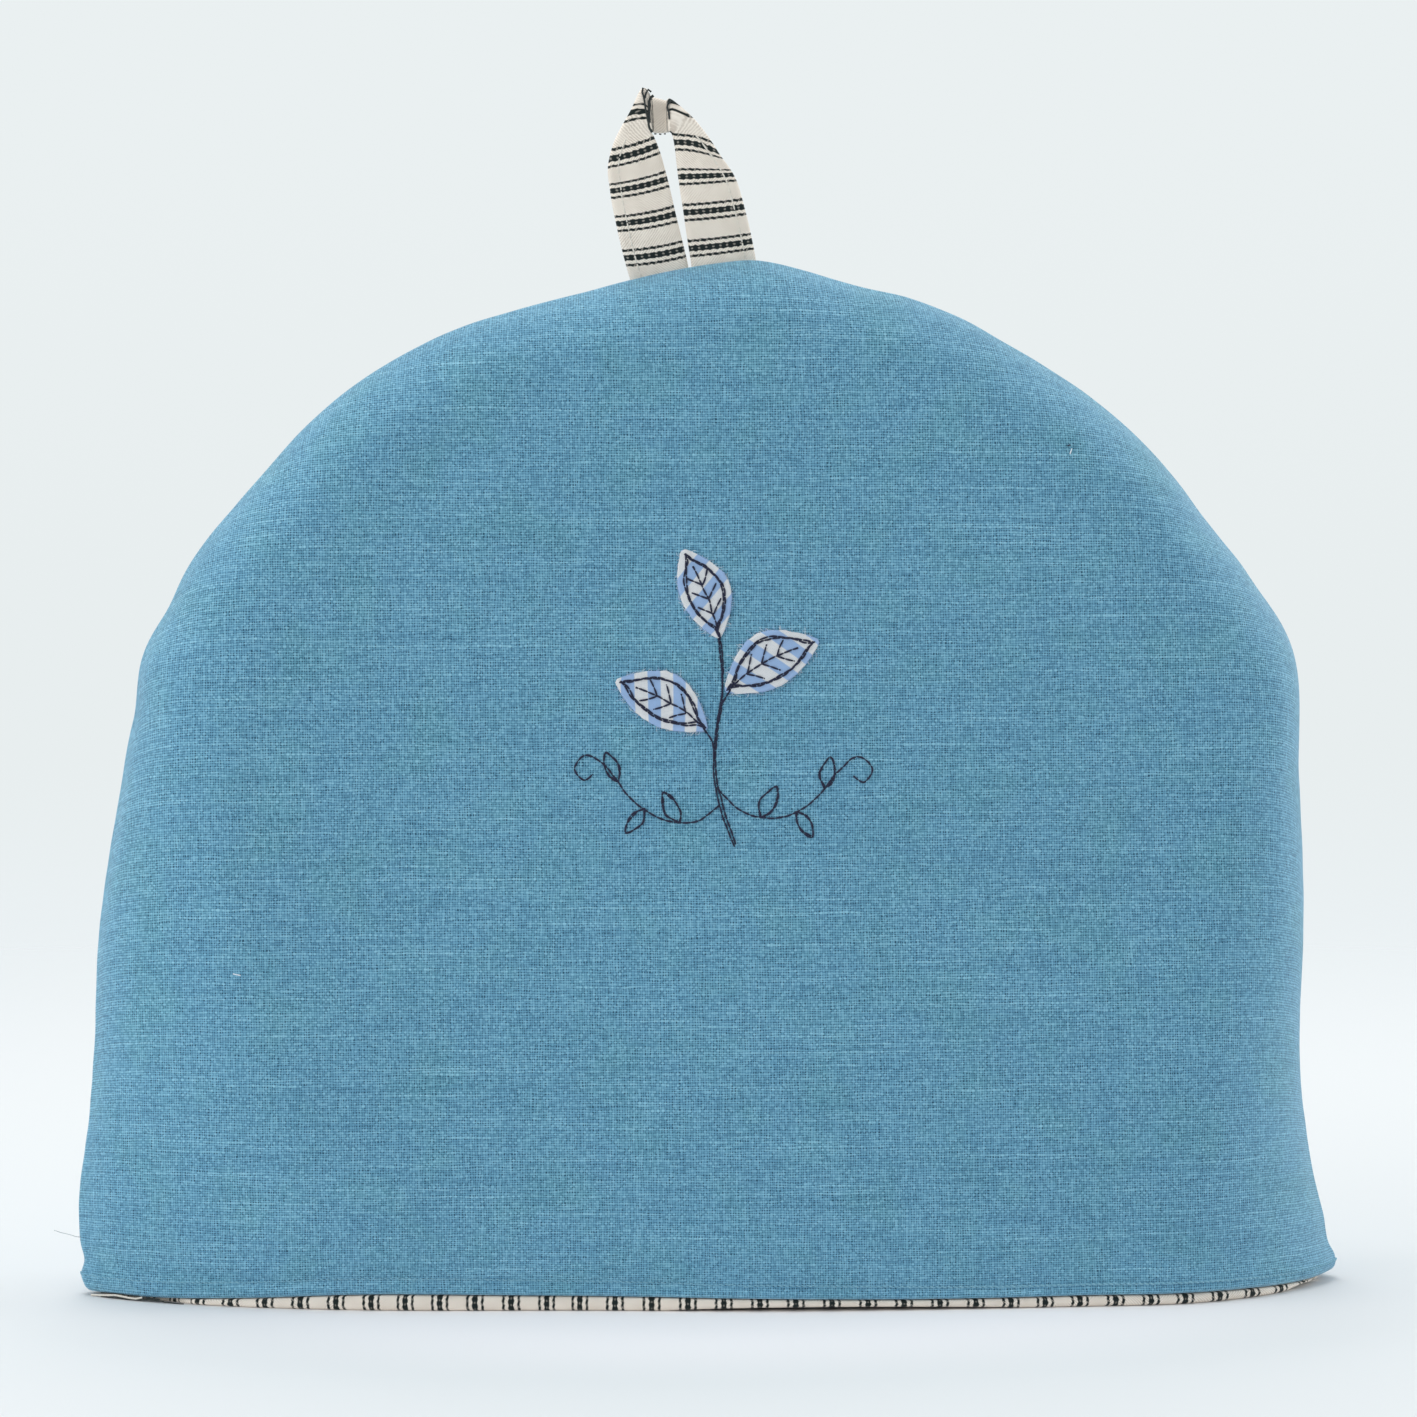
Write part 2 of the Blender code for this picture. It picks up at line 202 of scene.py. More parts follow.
def facePlace(x, z, inset, front, relief=None):
    depth, turned, _ = faceProfile(x, z, inset, front)
    if front:
        depth += foldHeight(folds, x, z) * (1 - turned)
    if relief:
        depth += relief(x, z, front) * (1 - turned ** 3)
    power = cosy["edgePower"] + cosy["hemEdgePower"] * (1 - smoothStep(z / cosy["hemEdgeFade"]))
    place = depth * (1 - turned * turned) ** power + seamHalfWidth(x, z)
    if relief:
        angle = atan2(max(z, 0), x)
        within = (outline(angle) - hypot(x, z) - cosy["rollFrom"]) / cosy["rollHalf"]
        place += crownRoll(angle) * bell(within)
    return place


def discPlace(column, row, inset):  # column -1..1, row 0..1, to x and z on the dome
    across = sin(pi / 2 * column)
    up = (1 - cos(pi * row)) / 2
    discX = across * sqrt(1 - up * up / 2)
    discZ = up * sqrt(1 - across * across / 2)
    angle = atan2(discZ, discX)
    distance = edgeRadius(angle, inset) * hypot(discX, discZ)
    return distance * cos(angle), distance * sin(angle)


def standing(x, y, z, front):  # a place on the front or the back of the cosy
    return Vector((x, -y if front else y, z))


def liftAt(x, z):
    return hemLift(x) * max(1 - z / cosy["hemLiftFade"], 0) ** 2


def ellipseArc(reach, depth, turned):  # cloth used up by the turn, from its start
    full = asin(turned)
    total, slices = 0, 6
    for k in range(slices + 1):
        phi = full * k / slices
        weight = 1 if k in (0, slices) else (4 if k % 2 else 2)
        total += weight * hypot(reach * cos(phi), depth * sin(phi))
    return total * full / slices / 3


def flatPlace(x, z, inset):  # the same place on the flat cut cloth
    depth, turned, reach = faceProfile(x, z, inset, True)
    return pushed(x, z, ellipseArc(reach, max(depth, 0), turned) - reach * turned)


# Shader building: each small tool finds its node tree from a socket it is given

def join(tree, value, socket):
    if isinstance(value, bpy.types.NodeSocket):
        tree.links.new(value, socket)
    elif value is not None:
        socket.default_value = value


def put(tree, kind, *values, out=0, **settings):
    node = tree.nodes.new("ShaderNode" + kind)
    for name, value in settings.items():
        setattr(node, name, value)
    for socket, value in zip(node.inputs, values):
        join(tree, value, socket)
    return node.outputs[out]


def calc(operation, *values, clampIt=False):
    tree = next(value.id_data for value in values if isinstance(value, bpy.types.NodeSocket))
    return put(tree, "Math", *values, operation=operation, use_clamp=clampIt)


def times(first, second):
    return calc("MULTIPLY", first, second)


def over(first, second):
    return calc("DIVIDE", first, second)


def plus(first, *others, clampIt=False):
    for other in others:
        first = calc("ADD", first, other, clampIt=clampIt)
    return first


def minus(first, second):
    return calc("SUBTRACT", first, second)


def scaled(value, factor, offset):
    return calc("MULTIPLY_ADD", value, factor, offset)


def between(value, low, high, toLow=0, toHigh=1):
    return put(value.id_data, "MapRange", value, low, high, toLow, toHigh,
               interpolation_type="SMOOTHSTEP")


def vectorCalc(operation, first, *others, out=0):
    return put(first.id_data, "VectorMath", first, *others, out=out, operation=operation)


def combine(x, y, z=None):
    return put(x.id_data, "CombineXYZ", x, y, z)


def separate(vector):
    node = vector.id_data.nodes.new("ShaderNodeSeparateXYZ")
    vector.id_data.links.new(vector, node.inputs[0])
    return node.outputs


def cloudy(place, size, detail, out=0):
    return put(place.id_data, "TexNoise", place, None, size, detail, out=out, noise_dimensions="3D")


def blendColour(factor, first, second):
    others = [None] * 5  # the Mix node's inputs for numbers and vectors
    return put(factor.id_data, "Mix", factor, *others, first, second, out=2, data_type="RGBA")


def newGroup(name, inputs, outputs):
    tree = bpy.data.node_groups.new(name, "ShaderNodeTree")
    for socketName, kind, value in inputs:
        socket = tree.interface.new_socket(name=socketName, in_out="INPUT", socket_type=kind)
        if value is not None:
            socket.default_value = value
    for socketName in outputs:
        tree.interface.new_socket(name=socketName, in_out="OUTPUT", socket_type="NodeSocketFloat")
    return tree, tree.nodes.new("NodeGroupInput").outputs, tree.nodes.new("NodeGroupOutput").inputs


def placeGroup(tree, group, **values):
    node = tree.nodes.new("ShaderNodeGroup")
    node.node_tree = group
    for name, value in values.items():
        join(tree, value, node.inputs[name])
    return node.outputs


def newMaterial(name, roughness, sheen=0, specular=0.2):
    material = bpy.data.materials.new(name)
    material.use_nodes = True
    tree = material.node_tree
    shader = tree.nodes["Principled BSDF"]
    values = {"Roughness": roughness, "Specular IOR Level": specular,
              "Sheen Weight": sheen, "Sheen Roughness": 0.5}
    for socketName, value in values.items():
        shader.inputs[socketName].default_value = value
    return material, tree, shader


def finishCloth(tree, shader, colour, height, strength, depth):
    tree.links.new(colour, shader.inputs["Base Color"])
    bump = tree.nodes.new("ShaderNodeBump")
    bump.inputs["Strength"].default_value = strength
    bump.inputs["Distance"].default_value = depth
    tree.links.new(height, bump.inputs["Height"])
    tree.links.new(bump.outputs["Normal"], shader.inputs["Normal"])


# Shared effect: plain weave with uneven threads

def makeWeaveGroup():
    number = "NodeSocketFloat"
    tree, take, give = newGroup(
        "plainWeave",
        [("Place", "NodeSocketVector", None), ("Pitch", number, 0.0007), ("Wander", number, 0.5),
         ("Holes", number, 0.5), ("Slubs", number, 0.5)],
        ["Height", "Hole", "Slub", "Grain"])
    threads = vectorCalc("SCALE", take["Place"], None, None, over(1, take["Pitch"]))
    a, b, _ = separate(threads)

    def wobble(x, y, layer, size=1, detail=1):
        return cloudy(combine(x, y, layer), size, detail)

    def chance(x, y, layer):  # one even random value per crossing
        return put(tree, "TexWhiteNoise", combine(x, y, layer), noise_dimensions="3D")

    def wander(value, x, y, layer):
        return plus(value, times(minus(wobble(x, y, layer), 0.5), take["Wander"]))

    warp = wander(a, times(a, 0.45), times(b, 0.07), 0)
    weft = wander(b, times(a, 0.07), times(b, 0.45), 7)
    sinWarp, sinWeft = calc("SINE", times(warp, pi)), calc("SINE", times(weft, pi))
    crown, fill = calc("ABSOLUTE", sinWarp), calc("ABSOLUTE", sinWeft)
    crossing = times(sinWarp, sinWeft)
    warpTop = times(crown, scaled(crossing, 0.28, 0.6))
    weftTop = times(fill, scaled(crossing, -0.3, 0.7))
    corner = times(minus(1, crown), minus(1, fill))
    patchy = between(wobble(a, b, 11, 0.08, 3), 0.3, 0.7, 0.75, 1.15)
    cornerChance = chance(calc("ROUND", warp), calc("ROUND", weft), 17)
    sizes = times(scaled(cornerChance, 2, -0.1), patchy)
    hole = between(times(corner, sizes), 0.2, 0.6)
    weftRow, warpRow = calc("FLOOR", weft), calc("FLOOR", warp)
    grain = minus(chance(warpRow, weftRow, 3), 0.5)
    loose = minus(wobble(a, b, 3, 0.5, 2), 0.5)
    weftSlub = wobble(times(a, 0.014), times(weftRow, 3.71), 1)
    warpSlub = wobble(times(warpRow, 3.71), times(b, 0.012), 5)

    def lines(value, cover, strong):  # thicker stretches of a thread
        bold = times(between(value, strong, strong + 0.1), 0.35)
        return times(plus(scaled(value, 1.5, -0.75), bold), cover)

    slub = plus(times(lines(weftSlub, weftTop, 0.62), 1.3), times(lines(warpSlub, warpTop, 0.65), 0.45))
    # Height and Hole also steer the painted highlight and painted shade in the cloths' colours
    results = {
        "Height": calc("MAXIMUM", warpTop, weftTop),
        "Hole": times(hole, take["Holes"]),
        "Slub": times(slub, take["Slubs"]),
        "Grain": plus(grain, times(loose, 0.2)),
    }
    for name, value in results.items():
        tree.links.new(value, give[name])
    return tree


weaveGroup = makeWeaveGroup()


# Materials

linenLook = {
    "dark": (0.018, 0.075, 0.13, 1),  # painted shade, down between the threads and in the weave's holes
    "thread": (0.119, 0.315, 0.474, 1),
    "light": (0.29, 0.565, 0.71, 1),  # slubs, and painted highlight on the thread crowns
    "green": (0.112, 0.318, 0.405, 1),  # where the dye leans to green
    "pitch": 0.69 * mm,
    "roughness": 0.92,
    "sheen": 0.44,
    "sheenTint": (0.72, 0.9, 1, 1),
}


def makeLinen():
    material, tree, shader = newMaterial("linen", linenLook["roughness"], linenLook["sheen"])
    shader.inputs["Sheen Tint"].default_value = linenLook["sheenTint"]
    place = put(tree, "UVMap", uv_map="cloth")
    weave = placeGroup(tree, weaveGroup, Place=place, Pitch=linenLook["pitch"], Wander=1.35,
                       Holes=1, Slubs=1)
    leaning = between(cloudy(place, 55, 3), 0.42, 0.72, 0, 0.55)
    ground = blendColour(leaning, linenLook["thread"], linenLook["green"])
    # tone: painted highlight on the thread crowns and painted shade between them, plus the cloth's own
    # slubs, grain and patches
    tone = plus(scaled(weave["Height"], 1.3, -0.69), times(weave["Slub"], 0.6),
                times(weave["Grain"], 0.6), scaled(cloudy(place, 110, 3), 0.14, -0.07))
    lighter = blendColour(calc("MAXIMUM", tone, 0, clampIt=True), ground, linenLook["light"])
    # painted shade between the threads and in the holes
    darker = calc("MAXIMUM", times(tone, -1.2), times(weave["Hole"], 1.3))
    colour = blendColour(calc("MINIMUM", darker, 1, clampIt=True), lighter, linenLook["dark"])
    finishCloth(tree, shader, colour, weave["Height"], 0.6, 0.15 * mm)
    return material


tickingLook = {
    "cream": (0.95, 0.87, 0.775, 1),
    # painted shade in the twill's valleys
    "creamShade": (0.64, 0.555, 0.475, 1),
    "stripe": (0.011, 0.018, 0.018, 1),
    "repeat": 9.35 * mm,
    "thinFrom": 1.97 * mm,
    "thinHalf": 0.33 * mm,
    "thinSlant": 2.6 * mm,
    "ragged": 0.42 * mm,  # how far the stripes' edges stray
    "dash": 1.9 * mm,
    "twill": 0.78 * mm,
    "roughness": 0.88,
    "sheen": 0.15,
}


def makeTicking(name, shift, thickHalf, eyes):
    look = tickingLook
    material, tree, shader = newMaterial(name, look["roughness"], look["sheen"])
    place = put(tree, "UVMap", uv_map="cloth")
    ragged = vectorCalc("SUBTRACT", cloudy(place, 1400, 1, out=1), (0.5, 0.5, 0.5))
    ragged = vectorCalc("SCALE", ragged, None, None, look["ragged"])
    u, along, _ = separate(vectorCalc("ADD", place, ragged))
    across = over(minus(u, shift), look["repeat"])
    nearest = calc("ROUND", across)
    side = times(minus(across, nearest), look["repeat"])
    away = calc("ABSOLUTE", side)
    rows = over(along, look["dash"])
    rowPhase = times(nearest, 0.37)
    phase = plus(rows, rowPhase)
    wave = calc("COSINE", times(phase, 2 * pi))

    # thin stripes, woven in slanting dashes
    thinAway = calc("ABSOLUTE", minus(away, scaled(wave, 0.08 * mm, look["thinFrom"])))
    thin = between(thinAway, look["thinHalf"] + 0.12 * mm, look["thinHalf"] - 0.08 * mm)
    thinPhase = plus(over(side, look["thinSlant"]), rowPhase)
    dashes = calc("ABSOLUTE", minus(calc("FRACT", plus(rows, thinPhase)), 0.5))
    thin = times(thin, scaled(between(dashes, 0.48, 0.36), 0.42, 0.58))

    # thick stripe, with a light eye in each of its stitches
    thick = between(minus(away, scaled(wave, 0.09 * mm, thickHalf - 0.03 * mm)), 0.1 * mm, -0.12 * mm)
    local = times(minus(calc("FRACT", phase), 0.5), look["dash"])
    eye = vectorCalc("LENGTH", combine(over(away, 0.42 * thickHalf), over(local, 0.42 * mm)), out=1)
    thick = times(thick, scaled(between(eye, 1.1, 0.35), -eyes, 1))
    stripe = calc("MAXIMUM", thin, thick, clampIt=True)

    # herringbone: the twill leans the other way in every second repeat
    lean = minus(times(calc("FLOORED_MODULO", calc("FLOOR", across), 2), 2), 1)
    twill = calc("SINE", times(plus(along, times(u, lean)), 2 * pi / look["twill"]))
    twill = scaled(twill, 0.5, 0.5)
    # painted shade along the twill's valleys, stronger in random patches
    valley = times(minus(1, twill), between(cloudy(place, 260, 3), 0.3, 0.7, 0.5, 1))
    ground = blendColour(valley, look["cream"], look["creamShade"])
    colour = blendColour(stripe, ground, look["stripe"])
    height = plus(times(twill, 0.6), times(stripe, 0.3))
    finishCloth(tree, shader, colour, height, 0.4, 0.15 * mm)
    return material


cottonLook = {
    "white": (0.73, 0.745, 0.765, 1),
    "blue": (0.32, 0.475, 0.75, 1),
    # painted shade between the threads and in the weave's holes
    "shade": (0.3, 0.36, 0.48, 1),
    "band": 3.3 * mm,
    "pitch": 0.36 * mm,
    "roughness": 0.85,
}


def makeCotton():
    material, tree, shader = newMaterial("stripedCotton", cottonLook["roughness"], 0.1)
    place = put(tree, "UVMap", uv_map="cloth")
    weave = placeGroup(tree, weaveGroup, Place=place, Pitch=cottonLook["pitch"], Wander=0.5,
                       Holes=0.35, Slubs=0.25)
    band = calc("SINE", times(separate(place)[0], pi / cottonLook["band"]))
    colour = blendColour(between(band, -0.14, 0.14), cottonLook["white"], cottonLook["blue"])
    # painted shade where the threads dip and in the holes between them
    tone = plus(scaled(weave["Height"], -0.22, 0.16), weave["Hole"], clampIt=True)
    colour = blendColour(tone, colour, cottonLook["shade"])
    finishCloth(tree, shader, colour, weave["Height"], 0.35, 0.08 * mm)
    return material


def makeThread(name, colour, shade):
    material, tree, shader = newMaterial(name, 0.6, 0.1, 0.35)
    fibre = cloudy(put(tree, "TexCoord", out=3), 2600, 2)
    colour = blendColour(between(fibre, 0.35, 0.7), (*colour, 1), (*shade, 1))
    finishCloth(tree, shader, colour, fibre, 0.5, 0.08 * mm)
    return material


threadColours = {  # colour and shade of each kind
    "navy": ((0.004, 0.006, 0.028), (0.012, 0.016, 0.055)),
    "linen": ((0.16, 0.38, 0.52), (0.26, 0.5, 0.62)),
    "cream": ((0.8, 0.76, 0.69), (0.66, 0.62, 0.55)),
    "white": ((0.8, 0.83, 0.86), (0.62, 0.7, 0.8)),
    "blue": ((0.34, 0.49, 0.76), (0.45, 0.6, 0.82)),
    # stripe colour, also for dark threads that paint shadow under the hem's corner and along the loop's
    # folds
    "dark": ((0.012, 0.018, 0.018), (0.03, 0.038, 0.038)),
    "grey": ((0.36, 0.4, 0.42), (0.2, 0.23, 0.25)),
}
linen = makeLinen()
tickingBand = makeTicking("tickingLining", 0.05 * mm, 0.74 * mm, 0.2)
tickingLoop = makeTicking("tickingLoop", 0, 0.8 * mm, 0.35)
cotton = makeCotton()
thread = {kind: makeThread(kind + "Thread", *pair) for kind, pair in threadColours.items()}
print("stage: materials made")


# Putting pieces into the scene

def addObject(name, data):
    made = bpy.data.objects.new(name, data)
    scene.collection.objects.link(made)
    return made


def addPiece(name, bm, material, outward=None):
    if outward:  # a place on the sheet and the way it must face
        place, way = outward
        bm.normal_update()
        nearest = min(bm.faces, key=lambda face: (face.calc_center_median() - place).length)
        if nearest.normal.dot(way) < 0:
            bmesh.ops.reverse_faces(bm, faces=bm.faces)
    mesh = bpy.data.meshes.new(name)
    bm.to_mesh(mesh)
    bm.free()
    mesh.shade_smooth()
    mesh.materials.append(material)
    piece = addObject(name, mesh)
    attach(piece, "root")
    return piece


def thicken(piece, thickness, offset=-1):
    solid = piece.modifiers.new("thickness", "SOLIDIFY")
    solid.thickness = thickness
    solid.offset = offset
    solid.use_even_offset = False


def gridSheet(columns, rows, pointAt, flatAt):  # a grid whose vertices and UVs come from its cells
    bm = bmesh.new()
    bmesh.ops.create_grid(bm, x_segments=columns, y_segments=rows, size=1)
    uvLayer = bm.loops.layers.uv.new("cloth")
    cell = {vert: (round((vert.co.x + 1) / 2 * columns), round((vert.co.y + 1) / 2 * rows))
            for vert in bm.verts}
    flat = {key: flatAt(*key) for key in set(cell.values())}
    for face in bm.faces:
        for corner in face.loops:
            corner[uvLayer].uv = flat[cell[corner.vert]]
    for vert, key in cell.items():
        vert.co = pointAt(*key)
    return bm


def cleanSheet(bm):
    bmesh.ops.remove_doubles(bm, verts=bm.verts, dist=0.002 * mm)
    bmesh.ops.dissolve_degenerate(bm, edges=bm.edges, dist=0.001 * mm)
    bmesh.ops.recalc_face_normals(bm, faces=bm.faces)


def sheetCell(shape, i, j, below):  # column -1..1, row 0..1, seam allowance, rows below the hem
    half = shape["columns"] / 2
    column = (i - shape["seamRows"]) / half - 1
    row = (j - below) / shape["rows"]
    beyond = max(abs(column) - 1, 0) * half + max(row - 1, 0) * shape["rows"]
    rolled = max(-row, 0) * shape["rows"]
    return clamp(column, -1, 1), clamp(row, 0, 1), beyond * shape["seamStep"], rolled


def clothHalf(name, shape, below, pointAt, flatAt, material, front, facing):
    columns = shape["columns"] + 2 * shape["seamRows"]
    rows = below + shape["rows"] + shape["seamRows"]
    bm = gridSheet(columns, rows, lambda i, j: pointAt(*sheetCell(shape, i, j, below), front),
                   lambda i, j: flatAt(*sheetCell(shape, i, j, below)))
    cleanSheet(bm)
    place, way = standing(0, 0.04, 0.1, front), standing(0, facing, 0, front)
    piece = addPiece(name, bm, material, (place, way))
    thicken(piece, shape["thickness"])
    return piece


# Linen panels

panel = {
    "columns": 210,
    "rows": 150,
    "seamRows": 3,  # seam allowance, turned in
    "seamStep": 1.2 * mm,
    "rollRows": 4,  # quarter turn round the hem
    "upRows": 4,  # hem turned up inside
    "hemRadius": 1.3 * mm,
    "turnUp": 10 * mm,
    "thickness": 0.6 * mm,
    "grooveDepth": 0.4 * mm,
    "grooveHalf": 1.1 * mm,
    "underGroove": 0.25 * mm,  # padding swells between the groove and the edge
    "hemRipple": 0.16 * mm,
    "swell": (0.34 * mm, 34 * mm),  # height and size of the cloth's soft unevenness
    "smallSwell": (0.13 * mm, 11 * mm),
    "seamDip": 0.5 * mm,
    "seamDipHalf": 1.5 * mm,
    "seamPuff": 0.35 * mm,  # padding swells beside the seam
    "seamNear": 30,  # the higher, the closer the crease keeps to the seam
    "pucker": 0.28 * mm,
    "puckerSizes": (8 * mm, 19 * mm),
    "hemCloth": 0.6 * mm,  # flat length of each row round the hem
}
hemStitchHeight = smoothTable([  # topstitch over the linen's edge
    (-171, 4.5), (-90, 4.2), (-30, 3.9), (30, 3.5), (90, 2.9), (125, 2.9),
    (171, 3.4)], mm, mm)


def hemStretch(x):  # the hem's lift takes up some of the height above it
    return max(1 - 2 * hemLift(x) / cosy["hemLiftFade"], 0.5)


def linenRelief(x, z, front):
    layer = 0 if front else 40
    height = foldHeight(fineFolds, x, z) if front else 0
    for (rise, size), step in zip((panel["swell"], panel["smallSwell"]), (0, 5)):
        height += rise * soft(x, z, size, layer + step)
    above = z * hemStretch(x)
    if above < 14 * mm:
        stitched = hemStitchHeight(x)
        groove = (above - stitched + 0.3 * mm) / panel["grooveHalf"]
        uneven = 1 + 0.35 * sin(x / (1.9 * mm)) * soft(x, 0, 6 * mm, 9)
        height -= panel["grooveDepth"] * uneven * bell(groove)
        height += panel["underGroove"] * bell((above - 0.35 * stitched) / (1.1 * mm))
        height += panel["hemRipple"] * soft(x, z * 0.4, 3.6 * mm, layer + 9) * bell(groove / 3.2)
    return height


def edgePucker(angle):
    small, large = panel["puckerSizes"]
    run = angle * 200 * mm
    return panel["pucker"] * 0.6 * (soft(run, 0, small, 21) + soft(run, 0, large, 27))


def panelPoint(column, row, allowance, rolled, front):
    radius = panel["hemRadius"]
    x, z = discPlace(column, row, 0)
    inset, raised = 0, 0
    if rolled > 0:
        quarter = min(rolled / panel["rollRows"], 1) * pi / 2
        inset = radius + radius * sin(quarter)
        raised = radius - radius * cos(quarter)
        raised += max(rolled - panel["rollRows"], 0) / panel["upRows"] * (panel["turnUp"] - radius)
    elif z < radius:
        inset = radius - sqrt(max(radius ** 2 - (radius - z) ** 2, 0))
    inset = max(inset, allowance)
    x, z = discPlace(column, row, inset)
    y = facePlace(x, z, inset, front, linenRelief)
    angle = atan2(z, x)
    near = (hypot(x, z) / edgeRadius(angle, inset)) ** panel["seamNear"]
    aside = (y - seamHalfWidth(x, z)) / panel["seamDipHalf"]
    shift = edgePucker(angle) * near
    if allowance == 0:
        shift -= panel["seamDip"] * bell(aside) * near
        shift += panel["seamPuff"] * bell(aside - 1.7) * near
    else:
        shift -= panel["seamDip"]
    x, z = pushed(x, z, shift)
    return standing(x, y, z + liftAt(x, z) + raised, front)


def panelFlat(column, row, allowance, rolled):
    u, v = pushed(*flatPlace(*discPlace(column, row, 0), 0), allowance)
    return u, v - rolled * panel["hemCloth"]


def makePanel(name, front, replaced):
    piece = clothHalf(name, panel, panel["rollRows"] + panel["upRows"], panelPoint, panelFlat,
                      linen, front, 1)
    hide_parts(replaced)
    return piece


# Ticking lining with the foot that shows under the hem

liningShape = {
    "columns": 130,
    "rows": 60,
    "seamRows": 2,
    "seamStep": 1.2 * mm,
    "inset": 5.9 * mm,
    "thickness": 0.8 * mm,
    "clearance": 0.2 * mm,  # between the foot's top and the linen
    "liftFrom": -16 * mm,  # the foot stands just off the floor here
    "liftTo": 78 * mm,
    "liftHeight": 1 * mm,
    "tuckFrom": (-139 * mm, 160 * mm),  # and is tucked under at its ends
    "tuckTo": (-153 * mm, 170 * mm),
    "tuckInset": (3.8 * mm, 2 * mm),
    "raiseFrom": (148 * mm, 151 * mm),  # its ends hang clear of the floor, left and right
    "raiseFade": 8 * mm,
    "cornerRaise": (0.85 * mm, 1.1 * mm),
    "floorGap": 0.02 * mm,
    "mostInset": 8 * mm,
    "footWave": 0.12 * mm,
    "slack": 0.5 * mm,  # inside, it hangs this much further in
    "slackWave": 0.25 * mm,
    "slackFrom": 8 * mm,
    "leastDepth": 0.15 * mm,
    "bandRows": 10,  # rows of the foot that face out, under the linen
    "footCloth": 6 * mm,
}
footProfile = [  # inset in mm, share of the foot's height
    (3.7, 1), (2.4, 1), (1.4, 0.995), (0.98, 0.95), (0.8, 0.84), (0.7, 0.66), (0.66, 0.48),
    (0.72, 0.3), (0.92, 0.14), (1.3, 0.04), (1.9, 0), (3.2, 0), (4.5, 0), (5.2, 0.08),
    (5.65, 0.32), (5.9, 0.75)]
footDeepest = footProfile[-1][0]
footReach = footDeepest - min(inset for inset, _ in footProfile)


def footInset(x):
    tucked = 0
    rows = zip(liningShape["tuckFrom"], liningShape["tuckTo"], liningShape["tuckInset"])
    for start, end, inset in rows:
        tucked += inset * smoothStep((x - start) / (end - start))
    return tucked


def footFloor(x):
    span = liningShape["liftTo"] - liningShape["liftFrom"]
    t = clamp((x - liningShape["liftFrom"]) / span, 0, 1)
    low = liningShape["floorGap"] + liningShape["liftHeight"] * sin(pi * t ** 0.85) ** 0.8
    for side, start, raised in zip((-1, 1), liningShape["raiseFrom"], liningShape["cornerRaise"]):
        low += raised * smoothStep((side * x - start) / liningShape["raiseFade"])
    return low


def liningPoint(column, row, allowance, rolled, front):
    if rolled > 0:
        inset, share = footProfile[-round(rolled)]
        x, z = discPlace(column, 0, 0)
        inset = inset * mm + footInset(x) * (footDeepest - inset) / footReach
        x, z = discPlace(column, 0, min(inset + allowance, liningShape["mostInset"]))
        low = footFloor(x)
        high = hemLift(x) - liningShape["clearance"]
        y = facePlace(x, z, inset, front)
        if 0.1 < share < 0.97:
            y += liningShape["footWave"] * soft(x, 0, 4 * mm, 31)
        return standing(x, y, low + (high - low) * share, front)
    inset = liningShape["inset"] + allowance
    x, z = discPlace(column, row, inset)
    y = facePlace(x, z, inset, front)
    if z > liningShape["slackFrom"]:
        wave = liningShape["slackWave"] * soft(x, z, 22 * mm, 33) * min(z / (10 * mm), 1)
        y = max(y - liningShape["slack"] - wave, min(y, liningShape["leastDepth"]))
    return standing(x, y, z + liftAt(x, z), front)


bandShift = smoothTable([  # how the ticking is eased round the hem
    (-171, 1.3), (-139, 1.25), (-121, 1.15), (-112, 0.95), (-93, 0.8), (-84.6, 1.16),
    (-66, 1.42), (-47, 1.16), (-38.5, 1.84), (-29, 1.84), (-19.6, 1.53), (0, 1.25),
    (18, 0.95), (37, 0.47), (56, -0.05), (75, -0.5), (84, -0.3), (112, -0.9),
    (121, -1.05), (130, -1.85), (139, -2.9), (146, -3.9), (153, -5.2), (171, -8)], mm, mm)


def liningFlat(column, row, allowance, rolled):
    x, z = discPlace(column, row, 0)
    u, v = flatPlace(x, z, 0)
    u += bandShift(x) * (1 - smoothStep(row / 0.25))
    if rolled > 0:
        inset, share = footProfile[-round(rolled)]
        facesOut = rolled > len(footProfile) - liningShape["bandRows"]
        v = share * hemLift(x) if facesOut else (inset - footDeepest) * mm
        v -= liningShape["footCloth"]
    return u, v


def makeLining(name, front, replaced):
    piece = clothHalf(name, liningShape, len(footProfile), liningPoint, liningFlat,
                      tickingBand, front, -1)
    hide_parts(replaced)
    return piece


liningFront = makeLining("liningFront", True, "lining_front")
liningBack = makeLining("liningBack", False, "lining_back")
print("stage: linings made")
linenFront = makePanel("linenFront", True, "front_panel")
makePanel("linenBack", False, "back_panel")
print("stage: linen panels made")


# Hanging loop

